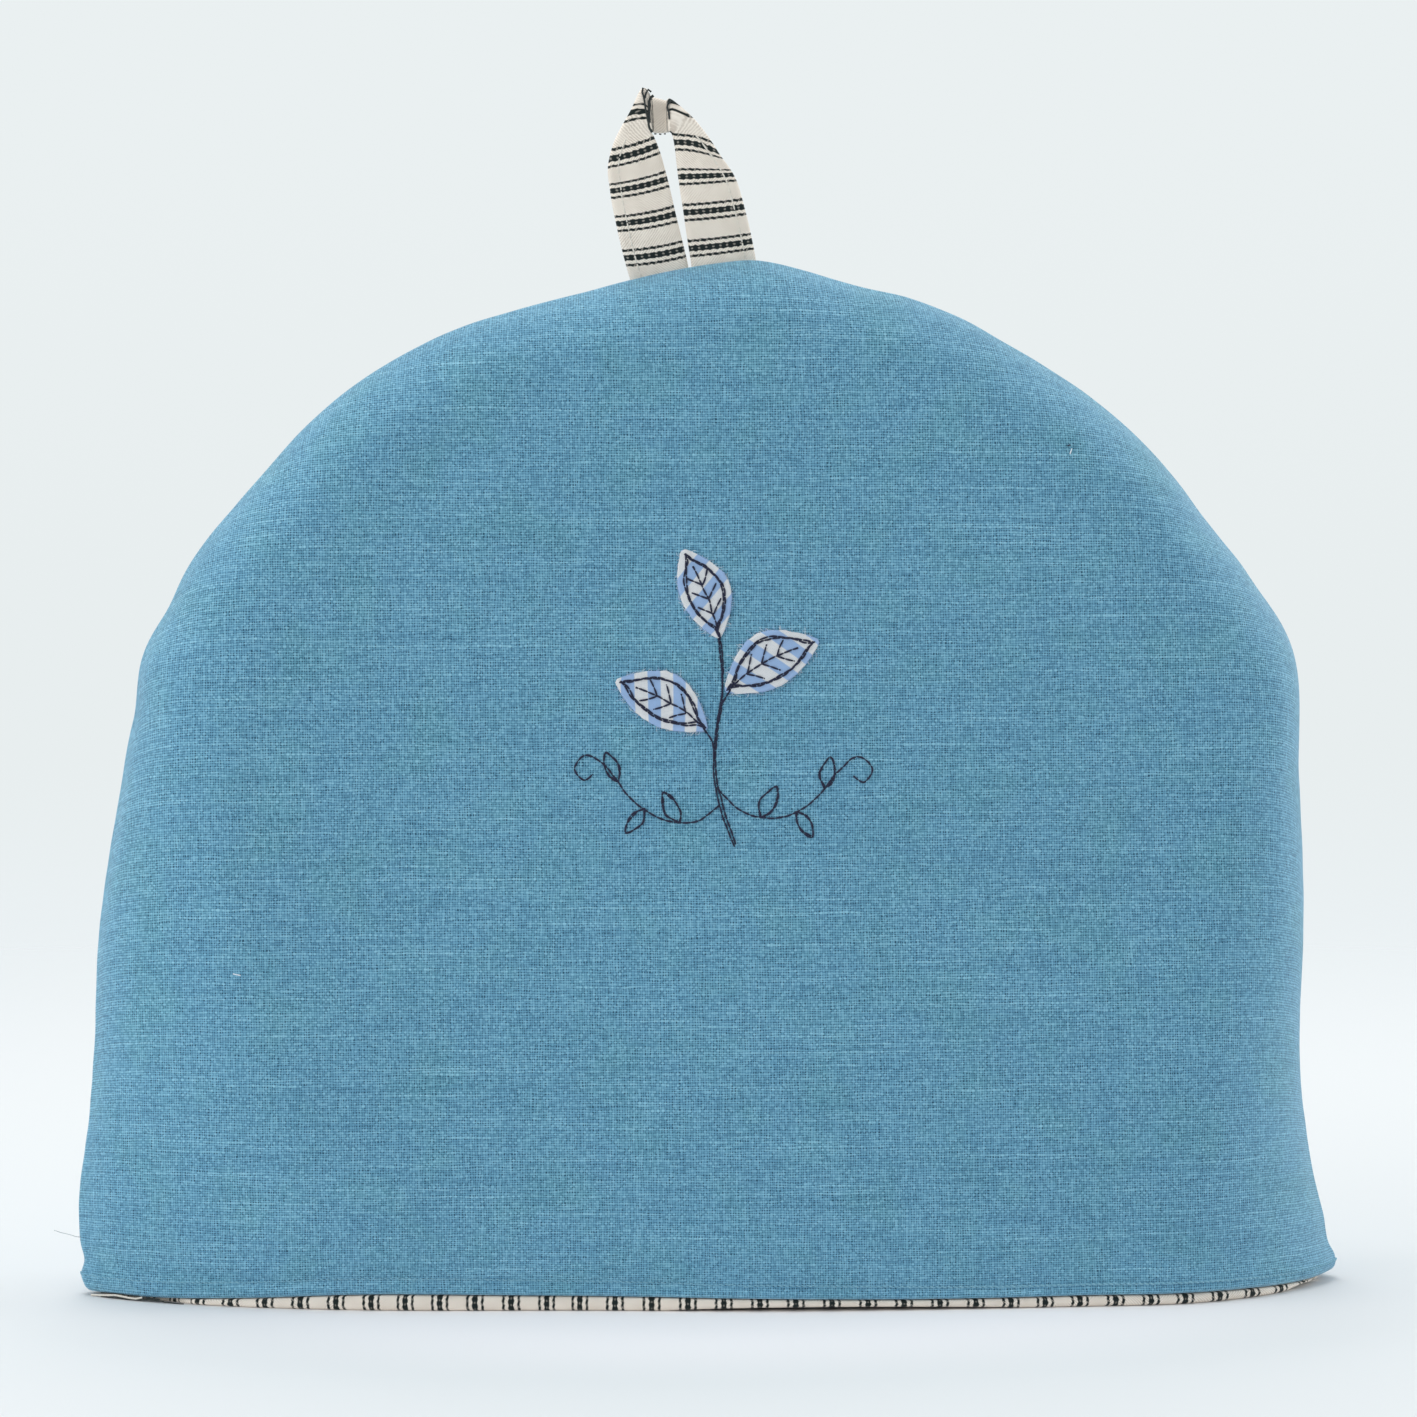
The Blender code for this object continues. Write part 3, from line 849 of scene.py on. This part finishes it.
loop = {
    "along": 150,
    "across": 15,  # cells over each face of the strip
    "halfThickness": 0.85 * mm,
    "edgeRound": 0.9 * mm,
    "stitchFrom": 2.9 * mm,  # edge stitching, in from the outer edge
    "stitchDip": 0.3 * mm,
    "stitchDipHalf": 0.8 * mm,
    "bow": 0.5 * mm,
    "puff": 0.22 * mm,
    "capStation": 10,  # the middle of the pleat
    "capHalf": 12 * mm,
    "capFade": 8 * mm,
    "dropStation": 15,  # the right strand's top stripes run level, then drop here
    "dropFade": 5 * mm,
}
loopStations = [  # inner x, y, z, outer x, y, z, facing, cloth at inner and outer in repeats
    (-6.2, 0, 271.6, -21.3, 0, 268.4, 0, 0.09, 0.01),
    (-6.9, 0, 276, -22.6, 0, 272.4, 0, 0.56, 0.44),
    (-7.9, 0, 280.3, -24, 0, 277.3, 0, 1.02, 0.97),
    (-10.2, 0, 289.6, -26.2, 0, 286.6, 0, 2.02, 1.99),
    (-12.4, 0, 299, -27.8, 0, 295.4, 0, 3.02, 3),
    (-14.6, 0, 306.6, -28.2, 0, 303.4, 0, 3.88, 3.95),
    (-15.8, 0, 309.6, -26.4, 0, 309.4, 0, 4.2, 4.44),
    (-16.5, 0, 310.8, -22.4, 0, 316.8, 0, 4.28, 5.05),
    (-16.9, 0, 311.4, -19.2, 0, 322.8, 40, 4.6, 5.72),
    (-16.2, 2.8, 311.2, -16.2, 5.2, 320.9, 30, 6.3, 6.32),
    (-14.2, 3, 311, -14.2, 5.6, 320.4, 0, 6.5, 6.5),
    (-12.2, 2.8, 311.2, -12.4, 5.2, 319.9, -30, 6.65, 6.62),
    (-11.7, 0, 311.2, -11.3, 0, 320, -40, 7.7, 6.97),
    (-11.2, 0, 310.6, -6, 0, 315.6, 0, 7.8, 7.19),
    (-10.8, 0, 309.2, -2.2, 0, 311.2, 0, 7.92, 7.58),
    (-10.4, 0, 306.8, 1.4, 0, 305.8, 0, 8.18, 8.01),
    (-9.5, 0, 299, 5.6, 0, 299.6, 0, 9.03, 9.05),
    (-8.1, 0, 289.6, 8.4, 0, 291, 0, 10.01, 10.04),
    (-6.7, 0, 280.3, 10.6, 0, 281.6, 0, 10.98, 11.06),
    (-6, 0, 276, 11.4, 0, 277.2, 0, 11.43, 11.55),
    (-5.6, 0, 271.6, 11.4, 0, 272.2, 0, 11.9, 12.08),
]
loopRun = [0]  # how far along the strip each station is
for before, after in zip(loopStations, loopStations[1:]):
    loopRun.append(loopRun[-1] + (dist(before[:3], after[:3]) + dist(before[3:6], after[3:6])) / 2)
loopRun = [run * mm for run in loopRun]
loopTables = [smoothTable([(run, row[part]) for run, row in zip(loopRun, loopStations)], 1,
                          mm if part < 6 else 1) for part in range(9)]


def loopPlace(run, across, side):  # side -1 back, 1 front
    values = [table(run) for table in loopTables]
    inner, outer = Vector(values[:3]), Vector(values[3:6])
    facing = radians(values[6])
    width = (outer - inner).length
    normal = Vector((sin(facing), -cos(facing), 0))
    inFromEdge = clamp(min(across, 1 - across) * width / loop["edgeRound"], 0, 1)
    rounding = sqrt(1 - (1 - inFromEdge) ** 2)
    cap = loopRun[loop["capStation"]]
    onLegs = smoothStep((abs(run - cap) - loop["capHalf"]) / loop["capFade"])
    groove = ((1 - across) * width - loop["stitchFrom"]) / loop["stitchDipHalf"]
    uneven = 0.12 * mm * soft(run, across * width, 5 * mm, 51)
    half = loop["halfThickness"] * rounding - loop["stitchDip"] * bell(groove) * onLegs
    half += (loop["puff"] * sin(pi * across) + uneven) * onLegs * rounding
    middle = 4 * across * (1 - across)
    bow = loop["bow"] * (middle + soft(run, across * width * 0.3, 16 * mm, 55)) * onLegs
    point = inner.lerp(outer, across) + normal * (bow + side * half)
    cloth = values[7] + (values[8] - values[7]) * across
    cloth += 0.05 * middle * onLegs * (1 if run < cap else -0.4)
    if side > 0:
        cloth += 0.1 * middle * bell((run - loopRun[loop["dropStation"]]) / loop["dropFade"])
    return point, normal, cloth, across * width


def makeLoop():
    def around(i, j):  # once round the strip, front face first
        share = j / loop["across"]
        side = 1 if share <= 1 else -1
        share = share if side > 0 else 2 - share
        return loopPlace(loopRun[-1] * i / loop["along"], (1 - cos(pi * share)) / 2, side)

    def flatAt(i, j):
        _, _, cloth, place = around(i, j)
        return cloth * tickingLook["repeat"], place

    bm = gridSheet(loop["along"], 2 * loop["across"], lambda i, j: around(i, j)[0], flatAt)
    bmesh.ops.remove_doubles(bm, verts=bm.verts, dist=0.002 * mm)
    ends = [edge for edge in bm.edges if edge.is_boundary]
    bmesh.ops.holes_fill(bm, edges=ends, sides=0)
    bmesh.ops.recalc_face_normals(bm, faces=bm.faces)
    piece = addPiece("loopStrip", bm, tickingLoop)
    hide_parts("top_loop")
    return piece


loopStrip = makeLoop()
print("stage: loop made")


# Threads

def addThreads(name, paths, radius, material, sides=2, swell=None):
    curve = bpy.data.curves.new(name + "Curve", "CURVE")
    curve.dimensions = "3D"
    curve.bevel_depth = radius
    curve.bevel_resolution = sides
    curve.use_fill_caps = True
    for path in paths:
        spline = curve.splines.new("POLY")
        spline.points.add(len(path) - 1)
        for k, point in enumerate(path):
            spline.points[k].co = (*point, 1)
            spline.points[k].radius = swell(k, len(path)) if swell else 1
    holder = addObject(name + "Curve", curve)
    bpy.context.view_layer.update()
    shape = holder.evaluated_get(bpy.context.evaluated_depsgraph_get())
    mesh = bpy.data.meshes.new_from_object(shape)
    bpy.data.objects.remove(holder, do_unlink=True)
    mesh.name = name
    mesh.materials.clear()
    mesh.materials.append(material)
    mesh.shade_smooth()
    piece = addObject(name, mesh)
    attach(piece, "root")
    return piece


def resample(points, step):  # evenly spaced points along a path
    runs = [0]
    for before, after in zip(points, points[1:]):
        runs.append(runs[-1] + (after - before).length)
    count = max(int(runs[-1] / step), 2)
    made, k = [], 0
    for n in range(count + 1):
        run = runs[-1] * n / count
        while k < len(runs) - 2 and runs[k + 1] < run:
            k += 1
        t = (run - runs[k]) / max(runs[k + 1] - runs[k], 1e-9)
        made.append(points[k].lerp(points[k + 1], t))
    return made


stitches = {
    "perStitch": 8,
    "hemPitch": 1.55 * mm,
    "hemRadius": 0.2 * mm,
    "hemRise": (0.2 * mm, 0.25 * mm),  # over the cloth, and down into the next hole
    "hemSlant": 0.12 * mm,
    "hemReach": 0.97,
    "loopPitch": 2.1 * mm,
    "loopRadius": 0.2 * mm,
    "loopRise": (0.12 * mm, 0.2 * mm),
    "loopFrom": 3 * mm,
    "loopTurns": (6, 14),  # stations where the loop's stitching stops for the pleat
    "sprigRise": (0.2 * mm, 0.2 * mm),
}


def stitchWave(k):
    return sin(pi * (k % stitches["perStitch"]) / stitches["perStitch"])


def stitchArc(k, rise):  # up over the cloth and down into the next hole
    return (rise[0] + rise[1]) * stitchWave(k) ** 0.5 - rise[1]


def stitchSwell(k, total):
    return 0.75 + 0.35 * stitchWave(k)


def hemSwell(k, total):  # the stitches stand out more to the right
    return stitchSwell(k, total) * (0.7 + 0.6 * smoothStep((k / total - 0.45) / 0.3))


def rowAtHeight(column, height):
    across = sin(pi / 2 * column)
    x, _ = discPlace(column, 0, 0)
    angle = 0.02 if x > 0 else pi - 0.02
    if abs(column) < 0.9:  # the dome is taller than it is wide there
        angle = atan2(height, x)
    up = height / (edgeRadius(angle, 0) * sqrt(1 - across * across / 2))
    return acos(clamp(1 - 2 * up, -1, 1)) / pi


def hemStitchPath(front):
    raw = []
    for k in range(401):
        column = stitches["hemReach"] * (k / 200 - 1)
        place = 170 * mm * sin(pi / 2 * column)
        height = hemStitchHeight(place) / hemStretch(place)
        raw.append(panelPoint(column, rowAtHeight(column, height), 0, 0, front))
    path = resample(raw, stitches["hemPitch"] / stitches["perStitch"])
    made = []
    for k, point in enumerate(path):
        ahead, behind = path[min(k + 1, len(path) - 1)], path[max(k - 1, 0)]
        normal = (ahead - behind).cross(Vector((0, 0, 1))).normalized()
        if normal.dot(standing(point.x * 0.3, 1, 0, front)) < 0:
            normal = -normal
        slant = stitches["hemSlant"] * sin(2 * pi * k / stitches["perStitch"])
        made.append(point + normal * stitchArc(k, stitches["hemRise"]) + Vector((0, 0, slant)))
    return made


def loopStitchPaths():
    paths = []
    left, right = (loopRun[station] for station in stitches["loopTurns"])
    legs = (stitches["loopFrom"], left), (right, loopRun[-1] - stitches["loopFrom"])
    for side in (1, -1):
        for start, end in legs:
            count = int((end - start) / stitches["loopPitch"]) * stitches["perStitch"]
            path = []
            for k in range(count + 1):
                run = start + (end - start) * k / count
                values = [table(run) for table in loopTables[:6]]
                across = 1 - loop["stitchFrom"] / dist(values[:3], values[3:])
                point, normal, _, _ = loopPlace(run, across, side)
                path.append(point + normal * side * stitchArc(k, stitches["loopRise"]))
            paths.append(path)
    return paths


for name, front, swell in (("hemStitchFront", True, hemSwell), ("hemStitchBack", False, stitchSwell)):
    addThreads(name, [hemStitchPath(front)], stitches["hemRadius"], thread["linen"], 1, swell)
loopStitches = addThreads("loopStitches", loopStitchPaths(), stitches["loopRadius"],
                          thread["cream"], 1, stitchSwell)
print("stage: hem and loop stitched")


# Sprig of leaves

sprig = {
    "fullness": 0.9,
    "cut": 0.8 * mm,
    "along": 44,
    "across": 20,
    "clearance": 0.3 * mm,
    "thickness": 0.5 * mm,
    "puff": 0.35 * mm,
    "bandTurn": 62,  # degrees
    "threadRadius": 0.25 * mm,
    "threadPitch": 2.3 * mm,
    "edgeLift": 0.18 * mm,
    "frays": 150,
    "frayRadius": 0.055 * mm,
    "outlines": (1.9 * mm, 2.4 * mm),  # two rounds of stitching, in from each leaf's edge
}
leaves = [  # piece, node, base x and z, length, width, turn, bend, how its bands are shifted
    ("leafLow", "leaf_patch_low", -4.5, 153, 27, 14.5, 152, -1.6, 0.4),
    ("leafMiddle", "leaf_patch_middle", 0.5, 163, 28, 15, 28, 1.8, 2.6),
    ("leafTop", "leaf_patch_top", -1, 177, 25, 13.5, 112, -1.2, 4.4),
]


def frontPoint(x, z, out=0):  # on the front linen, or a little off it
    return Vector((x, -facePlace(x, z, 0, True, linenRelief) - out, z + liftAt(x, z)))


def leafHalfWidth(leaf, along):
    return (sprig["cut"] + (leaf[5] * mm - sprig["cut"]) * sin(pi * along) ** sprig["fullness"]) / 2


def leafPlace(leaf, along, across):
    _, _, baseX, baseZ, length, _, degrees, bend, _ = leaf
    inside = clamp(along, 0, 1)
    sideways = across * leafHalfWidth(leaf, inside) + bend * mm * sin(pi * inside)
    x, z = rotated(length * mm * along, sideways, degrees)
    return baseX * mm + x, baseZ * mm + z


def leafPuff(along, across):
    return sprig["puff"] * (1 - across * across) * sin(pi * along)


def makeLeaf(leaf):
    name, node, _, _, length, width, _, _, bandShift = leaf
    seed = len(name) * 3.3

    def pointAt(i, j):
        along, across = i / sprig["along"], 2 * j / sprig["across"] - 1
        ragged = 0.05 * soft(along * 0.03, across * 0.01, 1.6 * mm, seed) * abs(across)
        x, z = leafPlace(leaf, along, across * (1 + ragged))
        edge = max(abs(across), abs(2 * along - 1)) ** 8
        lift = sprig["clearance"] + sprig["thickness"] / 2 + leafPuff(along, across)
        return frontPoint(x, z, lift + sprig["edgeLift"] * edge * (1 + soft(x, z, 2.5 * mm, seed)))

    def flatAt(i, j):
        along, across = i / sprig["along"], 2 * j / sprig["across"] - 1
        side = across * width * mm / 2 * sin(pi * along) ** sprig["fullness"]
        u, v = rotated(side, -along * length * mm, sprig["bandTurn"])
        return u + bandShift * mm, v

    bm = gridSheet(sprig["along"], sprig["across"], pointAt, flatAt)
    cleanSheet(bm)
    middle = frontPoint(*leafPlace(leaf, 0.5, 0), 1 * mm)
    piece = addPiece(name, bm, cotton, (middle, Vector((0, -1, 0))))
    thicken(piece, sprig["thickness"], 0)
    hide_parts(node)
    return piece


def frayPaths(leaf, chance):
    white, blue = [], []
    for _ in range(sprig["frays"]):
        along = 0.02 + 0.96 * chance.random()
        side = chance.choice((-1, 1))
        x, z = leafPlace(leaf, along, side * 0.96)
        lean = chance.uniform(-0.9, 0.9)
        reach = chance.uniform(0.4, 1.5) * mm * (1.7 if chance.random() < 0.12 else 1)
        angle = radians(leaf[6]) + side * pi / 2 + lean
        curl = chance.uniform(-1.1, 1.1)
        path = []
        for t in (0, 0.2, 0.4, 0.6, 0.8, 1):
            dx, dz = reach * t * cos(angle + curl * t), reach * t * sin(angle + curl * t)
            path.append(frontPoint(x + dx, z + dz, (0.55 - 0.3 * t) * mm))
        (white if chance.random() < 0.62 else blue).append(path)
    return white, blue


def wobblyLine(places, seed, amount):  # a free-hand machine line through a few places
    marks = [Vector((x, z, 0)) for x, z in places]
    smooth = []
    for k in range(len(marks) - 1):
        p0, p1, p2 = marks[max(k - 1, 0)], marks[k], marks[k + 1]
        p3 = marks[min(k + 2, len(marks) - 1)]
        for t in [n / 12 for n in range(12)]:
            smooth.append(0.5 * ((2 * p1) + (p2 - p0) * t + (2 * p0 - 5 * p1 + 4 * p2 - p3) * t ** 2
                                 + (3 * p1 - p0 - 3 * p2 + p3) * t ** 3))
    smooth.append(marks[-1])
    line = []
    for mark in resample(smooth, sprig["threadPitch"] / stitches["perStitch"]):
        stray = [amount * soft(mark.x, mark.y, 4 * mm, layer) for layer in (seed, seed + 8)]
        line.append((mark.x + stray[0], mark.y + stray[1]))
    return line


def patchHeight(x, z):  # top of the leaf patch under a stitch, 0 off it
    for leaf in leaves:
        _, _, baseX, baseZ, length, _, degrees, bend, _ = leaf
        forward, aside = rotated(x - baseX * mm, z - baseZ * mm, -degrees)
        along = forward / (length * mm)
        if 0 < along < 1:
            across = abs(aside - bend * mm * sin(pi * along)) / leafHalfWidth(leaf, along)
            if across < 1.05:
                return sprig["clearance"] + sprig["thickness"] + leafPuff(along, min(across, 1))
    return 0


def sewn(places, seed, amount):
    made = []
    for k, (x, z) in enumerate(wobblyLine(places, seed, amount)):
        made.append(frontPoint(x, z, patchHeight(x, z) + stitchArc(k, stitches["sprigRise"])))
    return made


def leafOutline(leaf, inset, start, end):  # up one side and down the other
    marks = []
    for side, steps in ((1, range(13)), (-1, range(12, -1, -1))):
        for k in steps:
            along = start + (end - start) * k / 12
            full = leaf[5] * mm / 2 * sin(pi * along) ** sprig["fullness"]
            marks.append(leafPlace(leaf, along, side * max(full - inset, 0) / max(full, 1e-6)))
    return marks


sprigLines = [  # stems and tendrils, x and z in mm
    [(2.5, 122), (-0.5, 130), (-2.6, 140), (-2.4, 150), (-0.8, 160), (0, 169), (-1, 178.5)],
    [(2.9, 122.6), (0.2, 130.5), (-2, 140.5), (-1.9, 150.5), (-0.3, 160.5), (-0.5, 170), (-1.6, 180)],
    [(-2.5, 145), (-3, 149.5), (-6, 153.9)],
    [(-1.6, 155), (-0.6, 159), (2.2, 163.9)],
    [(-1.2, 133), (-8, 128.5), (-17, 129.5), (-25, 135), (-31, 143), (-36.5, 146),
     (-39.5, 142.5), (-37, 139.5), (-34.6, 141.2)],
    [(-2.2, 137.5), (5, 131), (14, 129.5), (23, 133.5), (30, 141.5), (35.5, 145.5),
     (39.2, 142.4), (37.2, 138.8), (34.2, 140.4)],
]
budSpots = [  # small stitched leaves on the tendrils: x, z, turn, length
    (-12, 128.3, 118, 9), (-21, 132, 232, 8), (-28, 139, 112, 8.5),
    (9.5, 129.6, 62, 9), (19, 131.3, -58, 8), (26.5, 137, 78, 8.5),
]


def budLine(x, z, degrees, length):
    marks = [(0, 0), (0.3, 0.2), (0.62, 0.2), (1, 0), (0.66, -0.19), (0.32, -0.19), (0, 0)]
    turned = [rotated(length * a, length * b, degrees) for a, b in marks]
    return [((x + a) * mm, (z + b) * mm) for a, b in turned]


leafPieces = [makeLeaf(leaf) for leaf in leaves]
chance = random.Random(7)
for leaf, piece in zip(leaves, leafPieces):
    for kind, paths in zip(("White", "Blue"), frayPaths(leaf, chance)):
        addThreads(leaf[0] + "Fray" + kind, paths, sprig["frayRadius"],
                                thread[kind.lower()], 0, lambda k, total: 1 - 0.6 * k / total)

sewnPaths = []
for n, line in enumerate(sprigLines):
    sewnPaths.append(sewn([(x * mm, z * mm) for x, z in line], 60 + n, 0.25 * mm))
for n, spot in enumerate(budSpots):
    for turnNumber in range(2):
        sewnPaths.append(sewn(budLine(*spot), 80 + 2 * n + turnNumber, 0.5 * mm))
for n, leaf in enumerate(leaves):
    for turnNumber, inset in enumerate(sprig["outlines"]):
        marks = leafOutline(leaf, inset, 0.02 + 0.02 * turnNumber, 0.95)
        sewnPaths.append(sewn(marks, 100 + 3 * n + turnNumber, 0.45 * mm))
    rib = [leafPlace(leaf, along / 10, 0) for along in range(9)]
    sewnPaths.append(sewn(rib, 120 + n, 0.35 * mm))
    for along in (0.25, 0.42, 0.58):
        for side in (-1, 1):
            vein = [leafPlace(leaf, along + 0.13 * t, side * 0.52 * t) for t in (0, 0.5, 1)]
            sewnPaths.append(sewn(vein, 130 + n, 0.2 * mm))
addThreads("sprigStitches", sewnPaths, sprig["threadRadius"], thread["navy"], 1, stitchSwell)
print("stage: sprig made")


# Small accidents: loose threads and specks, and dark threads that stand for stripes and painted shadow
# under the hem's corner and along the loop's folds

strays = {  # each: thread, radius in mm, sides, and its paths with x, y and z in mm
    "cornerThread": ("grey", 0.07, 0, [
        [(-169.6, -2, 15.6), (-171.5, -2.6, 15.9), (-173.4, -3, 16.6), (-175.6, -3.4, 17.2),
         (-177.4, -3.8, 17.9)]]),
    "hemWisp": ("cream", 0.3, 1, [  # pulled threads under the left-hand corner
        [(-167.6, -3.2, 0.3), (-165.9, -4.9, 0.45), (-163.5, -7.2, 0.75), (-161.1, -9.2, 1.05),
         (-159.3, -10.6, 0.9), (-157.5, -11.9, 0.7), (-155.7, -13.1, 0.62), (-153.9, -14.3, 1.1)]]),
    "hemShade": ("dark", 0.16, 1, [  # and dark threads beside them: the ticking's dark stripes, and painted shadow under the corner
        [(-165, -5.9, 1.25), (-162.3, -8.2, 1.4), (-159.3, -10.6, 1.45), (-156.9, -12.3, 1.35),
         (-155.1, -13.5, 1.3), (-153.4, -14.6, 1.15), (-150.4, -16.4, 1.05), (-149.2, -17.1, 1)],
        [(-165, -5.8, 0.2), (-162.6, -8, 0.3), (-159.9, -10.1, 0.35), (-158.1, -11.5, 0.25),
         (-155.1, -13.5, 0.4), (-152.8, -15, 0.7), (-149.8, -16.9, 0.75), (-148.1, -17.9, 0.35),
         (-145.4, -19.3, 0.25), (-143, -20.6, 0.22)],
        [(-154.4, -14, 0.55), (-152, -15.4, 0.6), (-150, -16.6, 0.45), (-148.2, -17.6, 0.5)]]),
    "loopFold": ("dark", 0.28, 1, [  # stripes seen on edge along the loop's folds, with painted shadow in the folds
        [(-19, -0.95, 323), (-19.25, -0.95, 321.8), (-18.8, -0.95, 320.5), (-18.5, -0.95, 318.7),
         (-18.35, -0.95, 317.4), (-18, -0.95, 315.9), (-17.6, -0.95, 313.6)],
        [(-16.8, -0.7, 321.9), (-17.6, -0.8, 322.5), (-18.2, -0.95, 321.6), (-18.5, -0.95, 320.2)],
        [(-11.5, -0.9, 319.5), (-12.35, -0.9, 318.6), (-12.5, -0.9, 317.8), (-12.1, -0.9, 316.5),
         (-11.95, -0.9, 314.6)]]),
    # wider dark lines: painted shadow down the left fold, and the stripe's dashes along the pleat's
    # lower edge
    "loopFoldWide": ("dark", 0.42, 1, [
        [(-16.2, -0.5, 320.9), (-16.95, -0.6, 320.4), (-17.35, -0.7, 319.3), (-17.35, -0.7, 317.4),
         (-17.45, -0.7, 315.5), (-17.5, -0.7, 313.2), (-17.25, -0.7, 312.3), (-16.6, -0.6, 311.1)],
        [(-17.4, -0.6, 316.6), (-17.35, -0.6, 314.8), (-17.35, -0.6, 312.9)],
        [(-16, -0.7, 310.75), (-15.4, -0.75, 310.7)], [(-14.7, -0.8, 310.65), (-14.1, -0.8, 310.6)],
        [(-13.4, -0.8, 310.7), (-12.9, -0.8, 310.75)]]),
}
for name, (kind, radius, sides, rows) in strays.items():
    paths = [[Vector([part * mm for part in mark]) for mark in row] for row in rows]
    addThreads(name, paths, radius * mm, thread[kind], sides,
               lambda k, total: 1 if total > 2 else 0.5)  # dashes of two points are finer


specks = {  # thread, radius in mm, and for each: x, z, turn, length, height over the linen
    "whiteSpecks": ("white", 0.16, [(93.6, 226, 1.2, 1.5, 0.15), (-128.6, 89, -0.2, 2, 0.15)]),
    "darkSpecks": ("navy", 0.18, [(93.1, 227.6, 0.4, 0.8, 0.1)]),
}


def speckPath(x, z, turned, length, out):
    return [frontPoint((x + length * t * cos(turned)) * mm, (z + length * t * sin(turned)) * mm,
                       (out + 0.15 * cos(pi * t)) * mm) for t in (-0.5, -0.2, 0.2, 0.5)]


for name, (kind, radius, rows) in specks.items():
    addThreads(name, [speckPath(*row) for row in rows], radius * mm, thread[kind], 1)
print("stage: loose threads made")


# Floor, light and camera

stageLook = {
    "floorRadius": 3.2,
    "fadeFrom": 0.4,
    "fadeTo": 1.3,
    "floorColour": (0.775, 0.79, 0.802, 1),
    "paintedLightColour": (0.945, 0.92, 0.93, 1),  # painted pool of light, brighter close to the hem
    "paintedLightReach": (0.14, 0.11),  # half widths of the painted pool of light
    "paintedLightFade": (0.75, 1.45),  # as shares of its half widths
    "skyHigh": (0.823, 0.871, 0.879, 1),
    "skyMiddle": (0.807, 0.855, 0.863, 1),
    "skyLow": (0.855, 0.913, 0.947, 1),
    "aroundShare": 0.7,  # light from everywhere but straight behind
    "lightsMeet": (0, 0, 0.14),
    "lookAt": (-0.00135, 0, 0.1566),
    "elevation": 3.3,  # the camera's place, in degrees and metres
    "azimuth": -5,
    "distance": 1.6,
    "lens": 150.9,
}
studioLights = [  # name, place, size, power
    ("frontLight", (-1.5, -1.3, 0.9), 1.2, 7.6),
    ("topLight", (-0.1, 0.1, 1.9), 1.2, 12.7),
    ("backLight", (-0.2, 1.1, 1.6), 1.2, 5.6),
    ("leftLight", (-1.8, -0.3, 0.3), 1, 8.2),
    ("rightLight", (1.8, 0.1, 0.4), 1, 9.9),
    ("rightBackLight", (1.5, 1, 0.6), 1, 3.7),
]


def makeFloor():
    bm = bmesh.new()
    bmesh.ops.create_circle(bm, cap_ends=True, segments=96, radius=stageLook["floorRadius"])
    mesh = bpy.data.meshes.new("floor")
    bm.to_mesh(mesh)
    bm.free()
    material, tree, shader = newMaterial("floorPaper", 0.85, 0, 0.15)
    place = put(tree, "TexCoord", out=3)
    # painted pool of light on the floor round the hem
    reachX, reachY = stageLook["paintedLightReach"]
    near = vectorCalc("MULTIPLY", place, (1 / reachX, 1 / reachY, 0))
    near = between(vectorCalc("LENGTH", near, out=1), *stageLook["paintedLightFade"], 1, 0)
    colour = blendColour(near, stageLook["floorColour"], stageLook["paintedLightColour"])
    tree.links.new(colour, shader.inputs["Base Color"])
    distance = vectorCalc("LENGTH", place, out=1)
    fade = between(distance, stageLook["fadeFrom"], stageLook["fadeTo"], 1, 0)
    tree.links.new(fade, shader.inputs["Alpha"])
    mesh.materials.append(material)
    addObject("floor", mesh)


def makeWorld():
    world = bpy.data.worlds.new("paleStudio")
    scene.world = world
    world.use_nodes = True
    tree = world.node_tree
    _, back, up = separate(put(tree, "TexCoord", out=0))
    colour = blendColour(between(up, -0.05, 0.05), stageLook["skyMiddle"], stageLook["skyHigh"])
    colour = blendColour(between(up, -0.06, -0.13), colour, stageLook["skyLow"])
    background = tree.nodes["Background"]
    tree.links.new(colour, background.inputs["Color"])
    strength = between(back, 0.88, 0.97, stageLook["aroundShare"], 1)
    tree.links.new(strength, background.inputs["Strength"])


def turnTo(thing, way):  # lights and cameras look along their own -Z
    thing.rotation_mode = "QUATERNION"
    thing.rotation_quaternion = way.to_track_quat("-Z", "Y")


def areaLight(name, place, size, power):
    light = bpy.data.lights.new(name, "AREA")
    light.size = size
    light.energy = power
    lamp = addObject(name, light)
    lamp.location = place
    lamp.visible_camera = False
    turnTo(lamp, Vector(stageLook["lightsMeet"]) - Vector(place))


def makeCamera():
    elevation, azimuth = radians(stageLook["elevation"]), radians(stageLook["azimuth"])
    back = Vector((sin(azimuth) * cos(elevation), -cos(azimuth) * cos(elevation), sin(elevation)))
    data = bpy.data.cameras.new("photoCamera")
    data.lens, data.sensor_width = stageLook["lens"], 36
    data.clip_start, data.clip_end = 0.05, 50
    camera = addObject("photoCamera", data)
    camera.location = Vector(stageLook["lookAt"]) + back * stageLook["distance"]
    turnTo(camera, -back)
    scene.camera = camera


makeFloor()
makeWorld()
for row in studioLights:
    areaLight(*row)
makeCamera()
scene.view_settings.view_transform = "Standard"
print("stage: floor, light and camera made")
